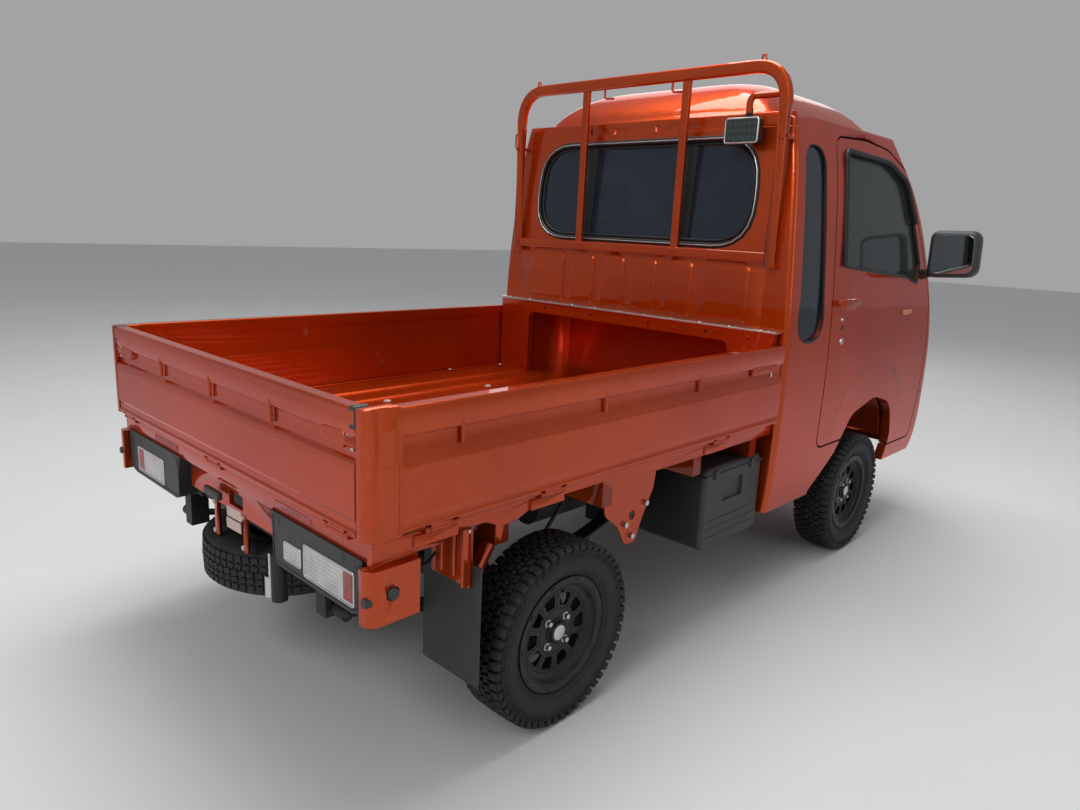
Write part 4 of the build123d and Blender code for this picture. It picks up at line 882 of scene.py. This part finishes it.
rear_seal = bmesh.new()
bead(rear_seal, rear_window, "y", 1, -3, 11)
bead(rear_seal, shrunk(rear_window, (0, 1513), 0.965, 0.91, 0.9), "y", 1, -9, 6, grow=46)
for x in (248, -248):
    low = Vector((x, on_skin("y", x, 1285, 1) - 10, 1326))
    high = Vector((x, on_skin("y", x, 1722, 1) - 11, 1702))
    lean = Matrix.Rotation(math.atan2(low.y - high.y, high.z - low.z), 4, "X")
    block(rear_seal, Matrix.Translation((low + high) / 2) @ lean, (38, 8, (high - low).length), 2, 2)
piece("rear_window_seal", rear_seal, "rubber")

bright_lip = bmesh.new()
bead(bright_lip, rear_window, "y", 1, 6, 2.6)
piece("rear_window_lip", bright_lip, "steel")

screen_seal = bmesh.new()
bead(screen_seal, screen, "y", -1, -2, 11)
piece("screen_seal", screen_seal, "rubber")

for name, side in sides:
    seal = bmesh.new()
    bead(seal, quarter, "x", side, -4, 6)
    piece("quarter_seal_" + name, seal, "rubber")
    seal = bmesh.new()
    bead(seal, pane, "x", side, -4, 8)
    bead(seal, pane[:5], "x", side, 5, 10, closed=False)
    piece("door_seal_" + name, seal, "rubber", "door_" + name)
print("seals done")

# %% [markdown]
# ## Door furniture
# Each door has a key lock below its handle, a chrome lock further down, an amber marker lamp near its
# front edge, a plain card inside and a mirror on a short arm. The mirror's glass faces back.

# %% Doors and mirrors
mirror_outline = ((755, 1212, 35), (752, 1425, 40), (960, 1430, 50), (967, 1225, 50))
mirror_middle = (860, 1322)
mirror_rear = -1307.5
mirror_front = -1382.5
sunk_edge = -3
# Columns: bar's radius, then its points on the left side.
mirror_arms = (
    (15, ((695, -1398, 1230), (760, -1375, 1236), (800, -1350, 1252))),
    (11, ((700, -1385, 1200), (752, -1366, 1222), (800, -1350, 1240))),
)


def on_side(side, points):
    """Points or corners of the left side, or their twins on the right."""
    return [(side * point[0], *point[1:]) for point in points]


def skin_box(shape, side, y0, y1, z0, z1, proud, soft):
    """A rounded pad on the flank of the cab."""
    depth = on_skin("x", (y0 + y1) / 2, (z0 + z1) / 2, side)
    box(shape, (depth - side * 6, y0, z0), (depth + side * proud, y1, z1), soft, 3)


def patch(shape, facing, side, low, high, proud, cells, tree):
    """A thin sheet over a rectangle of the skin, sunk in along its edges."""
    made = bmesh.ops.create_grid(shape, x_segments=cells[0], y_segments=cells[1], size=1)["verts"]
    for vert in made:
        across, up = vert.co.x, vert.co.y
        a = low[0] + (high[0] - low[0]) * (across + 1) / 2
        b = low[1] + (high[1] - low[1]) * (up + 1) / 2
        edge = max(abs(across), abs(up)) > 0.999
        depth = on_skin(facing, a, b, side, tree) + side * (sunk_edge if edge else proud)
        vert.co = FACING[facing](a, b, depth)
    if (side > 0) == (facing == "y"):
        bmesh.ops.reverse_faces(shape, faces=list({face for vert in made for face in vert.link_faces}))


for name, side in sides:
    door = "door_" + name
    marker = bmesh.new()
    skin_box(marker, side, -1262, -1162, 1044, 1066, 7, 5)
    piece("side_marker_" + name, marker, "lamp", door, amber_lens)

    locks = bmesh.new()
    for y, z, radius in ((-510, 1055, 9), (-520, 968, 14)):
        depth = on_skin("x", y, z, side)
        rod(locks, (depth - side * 3, y, z), (depth + side * 4, y, z), radius, radius - 1.5, soft=1)
    piece("door_locks_" + name, locks, "steel", door)

    plug = bmesh.new()
    skin_box(plug, side, -528, -508, 1010, 1032, 1.5, 1.4)
    piece("door_plug_" + name, plug, "dark_plastic", door)

    head = bmesh.new()
    plate(head, on_side(side, mirror_outline), "y", mirror_front, mirror_rear, 22, 5)
    for radius, points in mirror_arms:
        wire(head, on_side(side, points), radius)
    piece("mirror_head_" + name, head, "dark_plastic", door, replaced=("mirror_" + name,))
    glass = bmesh.new()
    inner = shrunk(mirror_outline, mirror_middle, 0.83, 0.82, 0.8)
    plate(glass, on_side(side, inner), "y", mirror_rear - 4, mirror_rear + 0.6, 1)
    piece("mirror_glass_" + name, glass, "glass", door, mirror_silver)

    card = bmesh.new()
    door_tree = skin_tree(door)
    patch(card, "x", -side, (-1230, 880), (-520, 1170), 4, (24, 10), door_tree)
    depth = on_skin("x", -800, 950, -side, door_tree)
    low, high = sorted((depth, depth - side * 46))
    box(card, (low, -1020, 925), (high, -620, 968), 14, 4)
    box(card, (low + 14, -1010, 968), (high - 14, -900, 985), 5, 2)
    piece("door_card_" + name, card, "dark_plastic", door)
print("doors done")

# %% [markdown]
# ## The front
# The picture doesn't show the front, so it stays plain. The headlamps get bowls and an amber corner behind
# a clear cover. Black plastic fills the bumper's air intake, and sheets of plastic lie on the curved skin
# as the cowl under the windscreen and as a slim grille. Two wipers rest on the glass.

# %% The front
front_tree = skin_tree("cab_front front_bumper cab_glass headlamps cab_roof")
lamp_outline = ((430, 705, 25), (436, 812, 40), (600, 870, 30), (714, 880, 20), (716, 730, 30))
# Sections of a lamp's bowl, and of a fog lamp's rim and lens. Columns: depth, radius or share of it.
bowl = ((62, 1.02), (16, 1.02), (14, 0.98), (16, 0.92), (30, 0.86), (44, 0.68), (52, 0.45), (56, 0.2))
fog_rim = ((14, 50), (-4, 50), (-6, 48), (-5, 44), (0, 40), (6, 38))
fog_glass = ((8, 39), (1, 38), (-2, 26), (-4, 0.01))
fog_x, fog_z, fog_reach = 490, 462, 36


def front_at(x, z, proud=0.0):
    """A point on the front of the cab, or proud of it."""
    return Vector((x, on_skin("y", x, z, -1, front_tree) - proud, z))


cowl = bmesh.new()
patch(cowl, "y", -1, (-628, 1150), (628, 1207), 2.5, (40, 6), front_tree)
patch(cowl, "y", -1, (-318, 742), (318, 792), 0.5, (30, 6), front_tree)
for z in (752, 767, 782):
    wire(cowl, [front_at(x, z, 1) for x in range(-300, 301, 50)], 3.2)
piece("cowl_and_grille", cowl, "dark_plastic")

wipers = bmesh.new()
for pivot_x, first, last in ((500, 30, 480), (-60, -520, -90)):
    shares = [k / 12 for k in range(13)]
    blade = [front_at(first + (last - first) * share, 1288 - 26 * share, 8) for share in shares]
    wire(wipers, blade, 4.5)
    hub, knee, middle = front_at(pivot_x, 1185, 8), front_at(pivot_x - 60, 1215, 16), blade[6]
    wire(wipers, [hub, knee, middle + Vector((0, -10, 0)), middle], 5)
    rod(wipers, hub + Vector((0, 12, -8)), hub + Vector((0, -8, 4)), 14, 11, soft=2)
piece("wipers", wipers, "rubber")

bowls, amber, backs = bmesh.new(), bmesh.new(), bmesh.new()
for x, z, radius in ((545, 790, 56), (642, 805, 36)):
    front = front_at(x, z)
    turned(bowls, [(depth, share * radius) for depth, share in bowl], "y", front, 40)
    bulb = Matrix.Translation(front + Vector((0, 48, 0))) @ Matrix.Diagonal((1, 1.3, 1, 1))
    bmesh.ops.create_uvsphere(bowls, u_segments=20, v_segments=12, radius=radius * 0.22, matrix=bulb)
box(amber, (683, -1638, 748), (707, -1612, 858), 5)
plate(backs, shrunk(lamp_outline, (575, 792), 0.94, 0.92, 1), "y", -1604, -1598, 1)
bead(backs, lamp_outline, "y", -1, -1, 3.5, grow=10)
piece("headlamp_bowls", both(bowls), "steel")
piece("headlamp_amber", both(amber), "lamp", finish=amber_lens)
piece("headlamp_backs", both(backs), "dark_plastic")

# A fog lamp lies along the curve of the bumper, so it is turned by the slope between two points beside it.
fog, fog_lens = bmesh.new(), bmesh.new()
turned(fog, fog_rim, "y", steps=40)
turned(fog_lens, fog_glass, "y", steps=40)
near, far = front_at(fog_x - fog_reach, fog_z), front_at(fog_x + fog_reach, fog_z)
slope = Matrix.Rotation(math.atan2(far.y - near.y, 2 * fog_reach), 4, "Z")
for shape in (fog, fog_lens):
    bmesh.ops.transform(shape, matrix=Matrix.Translation((near + far) / 2) @ slope, verts=shape.verts)
depth = front_at(380, fog_z).y
box(fog, (360, depth - 9, 440), (400, depth + 14, 484), 5)
both(fog)
for z in (430, 466, 500):
    box(fog, (-272, -1668, z), (272, -1650, z + 5), 2)
box(fog, (-276, -1640, 428), (276, -1630, 512), 1)
piece("bumper_fillings", fog, "dark_plastic")
piece("fog_lenses", both(fog_lens), "lamp")
print("front done")

# %% [markdown]
# ## The guard frame
# The guard behind the window is one bent steel tube, flattened to an oval, with a bar across its middle and
# two uprights. Sweeping an outline along the bent path keeps the section even round the bends, which a
# stretched box can't do. Hooks and rope loops are plain bent wire.

# %% Guard frame
guard_y = -40.0
guard_tube = ((-15, -22.5, 12), (15, -22.5, 12), (15, 22.5, 12), (-15, 22.5, 12))
hoop_path = ((-637.5, 1252, 0), (-637.5, 1932.5, 132), (637.5, 1932.5, 132), (637.5, 1252, 0))
rope_eye = ((660, 1700, 0), (674, 1706, 0), (674, 1756, 0), (660, 1762, 0))
hook = ((0, 1912, 0), (0, 1884, 0), (-8, 1876, 0), (-46, 1874, 0))

guard = bmesh.new()
for z in (1256, 1696):
    box(guard, (630, -118, z - 6), (660, guard_y, z + 6), 2)
    rod(guard, (645, guard_y + 12, z), (645, guard_y + 20, z), 9, soft=1, sides=6)
for reach in (-10, 10):
    rod(guard, (538 + reach, guard_y, 1948), (538 + reach * 0.4, guard_y, 1971), 3.6)
rod(guard, (533, guard_y, 1970), (543, guard_y, 1970), 3.4)
wire(guard, strip(rope_eye, "y", guard_y, closed=False), 4)
both(guard)
for start in (165, -165):
    wire(guard, [(start + x, y, z) for x, y, z in strip(hook, "y", guard_y, closed=False)], 4.5)
wire(guard, strip(hoop_path, "y", guard_y, closed=False, steps=10), 0, section=guard_tube)
box(guard, (-637, guard_y - 10, 1270), (637, guard_y + 10, 1305), 4, 3)
for x in (260, -232):
    box(guard, (x - 17, guard_y - 9, 1296), (x + 17, guard_y + 9, 1914), 5, 3)
    box(guard, (x - 24, guard_y - 11, 1286), (x + 24, guard_y + 11, 1300), 2)
piece("guard_tube", guard, "paint", replaced=("guard_frame",))
print("guard done")

# %% [markdown]
# ## The work lamp
# A square lamp hangs inside the guard's right shoulder. Its cast body has cooling fins towards the cab.
# Its face looks back over the bed, with a bright ring and rows of small light cells under clear glass.

# %% Work lamp
lamp_middle = Vector((-492.5, -27.5, 1720))
arm_x = -500
arm_radius = 12
arm_path = ((arm_x, 1780, 0), (arm_x, 1838, 26), (-628, 1838, 0))
ring_outline = ((-64, -41, 11), (64, -41, 11), (64, 41, 11), (-64, 41, 11))
cell_gap = Vector((19, 0, 24))

lamp_body, lamp_arm, lamp_ring, lamp_face = (bmesh.new() for part in range(4))
box(lamp_body, lamp_middle + Vector((-66, -24, -43)), lamp_middle + Vector((66, 14, 43)), 9, 4)
for fin in range(-4, 5):
    x = lamp_middle.x + 13 * fin
    box(lamp_body, (x - 2, -66, 1684), (x + 2, -48, 1756), 0.8, 1)
box(lamp_body, (arm_x - 12, -50, 1758), (arm_x + 12, -38, 1800), 2)
piece("work_lamp_body", lamp_body, "chassis", replaced=("work_lamp",))
wire(lamp_arm, strip(arm_path, "y", guard_y, closed=False), arm_radius)
piece("work_lamp_arm", lamp_arm, "paint")
wire(lamp_ring, [lamp_middle + p for p in strip(ring_outline, "y", 15)], 3.4, closed=True)
for row in range(3):
    for column in range(6):
        cell = lamp_middle + Vector((cell_gap.x * (column - 2.5), 12, cell_gap.z * (row - 1)))
        rod(lamp_ring, cell, cell + Vector((0, 3.5, 0)), 8.5, 5.5, sides=12)
piece("work_lamp_ring", lamp_ring, "steel")
face_outline = [(lamp_middle.x + x, lamp_middle.z + z, bend) for x, z, bend in ring_outline]
plate(lamp_face, face_outline, "y", lamp_middle.y + 15.6, lamp_middle.y + 18, 0.6)
piece("work_lamp_face", lamp_face, "glass", finish=clear_glass)
print("work lamp done")

# %% [markdown]
# ## Bed hardware
# A bright strip caps the beam at the head of the bed. The gates carry latches at their ends, black caps
# sit on the corners of the tailgate, and a few small round plugs sit in the deck.

# %% Bed and gate hardware
gate_face = 737.5
plug_places = ((-330, 900), (-330, 400), (330, 900), (330, 400), (-70, 1350), (70, 250))
cap_outline = ((667, 938, 6), (667, 988.5, 12), (689.5, 988.5, 9), (689.5, 938, 4))
lever_outline = ((560, 894, 6), (552, 926, 10), (640, 930, 8), (652, 912, 4), (640, 890, 6))

trim = bmesh.new()
box(trim, (-713, -60, 1024), (713, -8, 1032.6), 2.5, 3)
for step in range(-5, 6):
    rod(trim, (step * 130, -18, 1031), (step * 130, -18, 1035), 5, 4, soft=0.6)
piece("bed_trim", trim, "steel")

plugs = bmesh.new()
for x, y in plug_places:
    rod(plugs, (x, y, 699), (x, y, 709.5), 15, 12, soft=1.5)
piece("deck_plugs", plugs, "lamp")

# A rolled edge round the deck closes the slit under the gates.
deck_edge = bmesh.new()
box(deck_edge, (690, 0, 698), (698, 1604, 707), 2.5)
both(deck_edge)
box(deck_edge, (-684, 1650, 698), (684, 1658, 707), 2.5)
piece("deck_edge", deck_edge, "paint")

beam_bolts = bmesh.new()
for x in (0, 280, -280, 600, -600):
    rod(beam_bolts, (x, -14.8, 1000), (x, -8, 1000), 7, soft=1, sides=6)
piece("beam_bolts", beam_bolts, "paint")

caps, levers, claws = bmesh.new(), bmesh.new(), bmesh.new()
plate(caps, cap_outline, "y", 1661, 1697.4, 5, 3)
plate(levers, lever_outline, "y", 1683, 1696, 3, 3)
for x, y, low, high, radius in ((668, 1688, 890, 938, 5), (655, 1690, 898, 924, 4)):
    rod(claws, (x, y, low), (x, y, high), radius, soft=0.8)
both(claws)
for side in (1, -1):
    for z in (902, 918):
        box(claws, (side * 640 - 4, 1682, z - 3), (side * 676, 1694, z + 3), 1)
piece("tailgate_caps", both(caps), "dark_plastic", "tailgate")
piece("tailgate_levers", both(levers), "paint", "tailgate")
piece("tailgate_claws", claws, "steel", "tailgate")

# Columns: how far in, y and z of one corner, how far in, y and z of the other, bevel, steps.
latch_boxes = (
    (12, 1631, 865, -1.5, 1673, 941, 1.5, 2),
    (4, 1617, 708, -1.3, 1621, 862, 1, 2),
    (12, -2, 896, 2, 168, 926, 3, 2),
    (8, 40, 903, 0.5, 130, 919, 4, 3),
)
for name, side in sides:
    hardware = bmesh.new()
    for deep, y0, z0, shallow, y1, z1, soft, steps in latch_boxes:
        deep_x, shallow_x = side * (gate_face - deep), side * (gate_face - shallow)
        box(hardware, (deep_x, y0, z0), (shallow_x, y1, z1), soft, steps)
    piece("gate_hardware_" + name, hardware, "paint", "gate_" + name)
    keepers = bmesh.new()
    x = side * (gate_face - 10)
    for y in (1655, 24):
        rod(keepers, (x, y, 880), (x, y, 935), 4, soft=0.8)
    x = side * (gate_face - 26)
    rod(keepers, (x, 1668, 896), (x, 1690, 896), 6, soft=1)
    piece("gate_keepers_" + name, keepers, "steel", "gate_" + name)
print("bed hardware done")

# %% [markdown]
# ## Rear lamps
# The right housing holds a small clear lens and a large one with a red end, the left housing one lens.
# A red reflector lies over each. The lens is a thin plate with ribs, in a bright rim.

# %% Rear lamps
# Columns: left x, right x, lower z, upper z, x where its red end begins, x where it ends.
lens_rows = (
    (-652, -435, 520, 608, -650, -602),
    (-425, -341, 532, 586, 0, 0),
    (400, 612, 520, 606, 560, 610),
)
lens_back = 1672.8
lamp_groove = ((290, 634, 0), (290, 515, 16), (660, 515, 16), (672, 634, 0))


def upright(left, right, low, high):
    """A rectangle's corners, each with a small bend."""
    return ((left, low, 8), (left, high, 8), (right, high, 8), (right, low, 8))


clear, red, rims = bmesh.new(), bmesh.new(), bmesh.new()
plate(red, upright(292, 467, 655, 676), "y", 1660, 1673.8, 3, 3)
both(red)
for left, right, low, high, red_left, red_right in lens_rows:
    corners = upright(left + 3, right - 3, low + 3, high - 3)
    plate(clear, corners, "y", lens_back - 6, lens_back + 3.2, 2.2, 3)
    wire(rims, strip(corners, "y", lens_back + 3), 2.4, closed=True)
    if red_right:
        box(red, (red_left + 6, lens_back, low + 10), (red_right - 4, lens_back + 4.4, high - 10), 2)
piece("rear_lenses", clear, "lamp")
piece("red_lenses", red, "lamp", finish=red_lens)
piece("lens_rims", rims, "steel")

blanks = bmesh.new()
for x, z, radius in ((310, 624, 13), (600, 627, 12), (655, 618, 7)):
    rod(blanks, (x, 1674, z), (x, 1677, z), radius, radius - 1, soft=0.8)
wire(blanks, strip(lamp_groove, "y", 1675.5, closed=False), 2.2)
rod(blanks, (728, 1632, 575), (738, 1632, 575), 16, 13, soft=2)
rod(blanks, (716, 1680, 566), (716, 1697, 566), 13, 11, soft=2)
piece("lamp_blanks", both(blanks), "dark_plastic")

plate_lamp = bmesh.new()
box(plate_lamp, (7, 1668, 584), (100, 1684, 608), 5, 3)
piece("plate_lamp", plate_lamp, "dark_plastic")

carrier = bmesh.new()
for x, z in ((-70, 538), (-66, 503)):
    box(carrier, (x, 1653, z), (x + 86, 1656, z + 30), 1.2, 2, turned_by(2, "Y"))
for x in (92, -80):
    for z in (470, 556):
        rod(carrier, (x, 1652, z), (x, 1660, z), 8, soft=1, sides=6)
piece("carrier_plates", carrier, "lamp", finish=pale_label)

covers = bmesh.new()
for middle in (-610, 0, 610):
    for part in (-1, 1):
        box(covers, (middle + part * 2, 1655, 638), (middle + part * 58, 1671, 667), 4, 3)
    rod(covers, (middle - 70, 1662, 652), (middle - 56, 1662, 652), 9, soft=2)
piece("tail_hinge_covers", covers, "paint")
print("rear lamps done")

# %% [markdown]
# ## Under the body
# Coil springs, clamps, hoses and bolts fill the gaps under the bed. They stay dark and dull, but without
# them the underside would look like a toy.

# %% Under the body
coil_radius = 58
coil_wire = 6
coil_climb = 6.25
coil_foot = 545
hose_end = ((1250, 24), (1392, 24), (1396, 29), (1436, 29), (1440, 26), (1442, 0.01))
# Columns: x, thickness, then corners as y, z, bend.
hose_runs = (
    (572, 3.5, ((1440, 590, 0), (1462, 548, 40), (1420, 520, 60), (1380, 560, 0))),
    (520, 6, ((700, 560, 0), (820, 585, 60), (930, 470, 60), (1000, 380, 0))),
    (560, 8, ((430, 600, 0), (540, 612, 60), (640, 580, 60), (700, 610, 0))),
)

coils = bmesh.new()
for side in (1, -1):
    middle = Vector((side * 560, front_axle, coil_foot))
    turns = [middle + Vector((coil_radius * math.cos(a), coil_radius * math.sin(a), coil_climb * a))
             for a in (math.tau * k / 20 for k in range(70))]
    wire(coils, turns, coil_wire, sides=2)
piece("coil_springs", coils, "chassis")

clamps = bmesh.new()
for x in (424, 476):
    for y in (1027, 1098):
        rod(clamps, (x, y, 222), (x, y, 342), 5.5)
        rod(clamps, (x, y, 338), (x, y, 346), 9, sides=6)
rod(clamps, (500, 1085, 300), (470, 1230, 560), 17)
rod(clamps, (485, 1158, 430), (470, 1230, 560), 24)
piece("spring_clamps", both(clamps), "chassis")

hoses = bmesh.new()
turned(hoses, hose_end, "y", (566, 0, 612), 32)
for x, thick, corners in hose_runs:
    wire(hoses, strip(corners, "x", x, closed=False), thick)
piece("hoses", both(hoses), "rubber")

tube = bmesh.new()
rod(tube, (-196, 1640, 368), (-196, 1640, 428), 15, soft=2)
rod(tube, (-196, 1640, 424), (-196, 1640, 490), 5)
piece("tail_tube", tube, "steel")

bolts = bmesh.new()
for y, z in ((700, 470), (600, 520), (664, 425)):
    rod(bolts, (640, y, z), (651, y, z), 10, soft=1, sides=6)
rod(bolts, (700, 1390, 648), (700, 1398, 648), 8, soft=1, sides=6)
piece("frame_bolts", both(bolts), "steel")

ribs = bmesh.new()
for x in (600, 648):
    box(ribs, (x - 8, 1388, 512), (x + 8, 1398, 650), 5, 3)
box(ribs, (695, 1386, 504), (703, 1412, 655), 3, 3)
piece("mudguard_ribs", both(ribs), "paint")

lid = bmesh.new()
box(lid, (-704, -44, 560), (-434, 349, 566), 2)
for y in (40, 280):
    box(lid, (-706, y - 12, 545), (-698, y + 12, 578), 2)
for z in (330, 360, 390):
    box(lid, (-702, 0, z), (-698, 305, z + 8), 1.5)
piece("battery_lid", lid, "dark_plastic")
print("underside done")

# %% [markdown]
# ## Seats
# Through the glass the seats show as grey shapes, so each needs its crown and its bolsters. A cushion is
# made from a subdivided box whose middle is swollen, with a channel beside each of its raised bolsters.

# %% Seats
seat_inner, seat_outer = 130.0, 590.0
channel_place = 0.6
channel_depth = 3.5


def pad(low, high, lean, crown, bolster):
    """A stuffed pad between two corners, leaning about its lower rear edge, swollen by crown."""
    low, high = Vector(low), Vector(high)
    middle, size = (low + high) / 2, high - low
    shape = bmesh.new()
    block(shape, Matrix.Identity(4), size, min(size) * 0.28, 4)
    long_edges = [edge for edge in shape.edges if edge.calc_length() > 30]
    bmesh.ops.subdivide_edges(shape, edges=long_edges, cuts=9, use_grid_fill=True)
    face = 1 if size.y == min(size) else 2
    for vert in shape.verts:
        u, v, w = (2 * vert.co[i] / size[i] for i in range(3))
        swell = (1 - u * u) * (1 - (w if face == 1 else v) ** 2)
        side = bolster * max(0, abs(u) - 0.62) / 0.38
        channel = channel_depth * math.exp(-((abs(u) - channel_place) / 0.04) ** 2)
        vert.co[face] += math.copysign(1, vert.co[face]) * (crown * swell + side - channel)
    pivot = Vector((middle.x, high.y, low.z))
    place = Matrix.Translation(pivot) @ turned_by(lean, "X") @ Matrix.Translation(middle - pivot)
    bmesh.ops.transform(shape, matrix=place, verts=shape.verts)
    return shape


for name, side in sides:
    inner, outer = sorted((side * seat_inner, side * seat_outer))
    middle = (inner + outer) / 2
    # Columns: name, inset, y and z of both corners, lean, crown, bolster, solids that it stands for.
    pads = (
        ("seat_cushion_", 6, (-862, 800), (-395, 868), 3, 14, 10, ("seats",) if side == 1 else ()),
        ("seat_back_", 12, (-470, 868), (-385, 1395), -12, 10, 12, ()),
        ("headrest_", 110, (-355, 1418), (-285, 1560), -6, 8, 0, ()),
    )
    for title, inset, low, high, lean, crown, bolster, replaced in pads:
        shape = pad((inner + inset, *low), (outer - inset, *high), lean, crown, bolster)
        cushion = piece(title + name, shape, "seat_cloth", replaced=replaced)
    posts = bmesh.new()
    for x in (middle - 60, middle + 60):
        rod(posts, (x, -352, 1370), (x, -330, 1440), 6)
    box(posts, (inner + 20, -840, 780.5), (outer - 20, -400, 806), 4)
    piece("seat_frame_" + name, posts, "chassis")
print("seats done")

# %% [markdown]
# ## Floor and light
# The floor is plain and pale like swept concrete. Broad soft lamps stand where a photographer would put
# them: a key over the tailgate, one along the side that faces the camera, one overhead and one in front.

# %% Floor, lamps and world
floor_size = 60
# Columns: name, place, size, power in watts.
lamps = (
    ("key", (-1.4, 6.4, 5.0), 3.0, 185),
    ("side", (-6.5, 0.0, 2.6), 3.0, 24),
    ("overhead", (0.5, -0.2, 6.5), 4.0, 370),
    ("front", (3.5, -5.5, 4.5), 5.0, 80),
)
lamp_target = Vector((0, 0, 0.6))

floor_shape = bmesh.new()
bmesh.ops.create_grid(floor_shape, x_segments=1, y_segments=1, size=floor_size / 2)
floor_mesh = bpy.data.meshes.new("floor")
floor_shape.to_mesh(floor_mesh)
floor_shape.free()
floor = bpy.data.objects.new("floor", floor_mesh)
bpy.context.scene.collection.objects.link(floor)
floor_finish = Finish("pale_floor", (0.52, 0.515, 0.51), 0.8)
stains = floor_finish.grain(1.2, 6)
floor_finish.feed("Base Color", floor_finish.mix(stains, (0.5, 0.495, 0.49), (0.54, 0.535, 0.53)))
floor.data.materials.append(floor_finish.material)
floor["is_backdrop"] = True

for name, place, size, power in lamps:
    light = bpy.data.lights.new(name, "AREA")
    light.shape = "SQUARE"
    light.size = size
    light.energy = power
    lamp = bpy.data.objects.new(name, light)
    lamp.location = place
    lamp.rotation_euler = (lamp_target - Vector(place)).to_track_quat("-Z", "Y").to_euler()
    bpy.context.scene.collection.objects.link(lamp)

# The room lights the truck with one colour, and rays that see the room itself find the pale backdrop.
world = bpy.data.worlds.new("studio")
world.use_nodes = True
bpy.context.scene.world = world
nodes, links = world.node_tree.nodes, world.node_tree.links
room, backdrop = nodes["Background"], nodes.new("ShaderNodeBackground")
room.inputs["Color"].default_value = (0.95, 0.97, 1.0, 1)
room.inputs["Strength"].default_value = 0.5
backdrop.inputs["Color"].default_value = (0.365, 0.365, 0.37, 1)
ray = nodes.new("ShaderNodeLightPath").outputs
choose = nodes.new("ShaderNodeMixShader")
seen = ray["Is Camera Ray"]
for kind in ("Is Glossy Ray", "Is Transmission Ray"):
    either = nodes.new("ShaderNodeMath")
    either.operation = "MAXIMUM"
    links.new(seen, either.inputs[0])
    links.new(ray[kind], either.inputs[1])
    seen = either.outputs[0]
for value, socket in ((seen, "Fac"), (room.outputs[0], 1), (backdrop.outputs[0], 2)):
    links.new(value, choose.inputs[socket])
links.new(choose.outputs[0], nodes["World Output"].inputs["Surface"])
bpy.context.scene.view_settings.view_transform = "Standard"
print("lamps:", len(lamps))

# %% [markdown]
# ## Size
# The dressing is meant to stay inside the box round the solids, so both boxes are compared and the growth is
# printed.

# %% Size and finish
low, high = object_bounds()
print("growth in mm:", [round(1000 * c) for c in (*(cad_low - low), *(high - cad_high))])
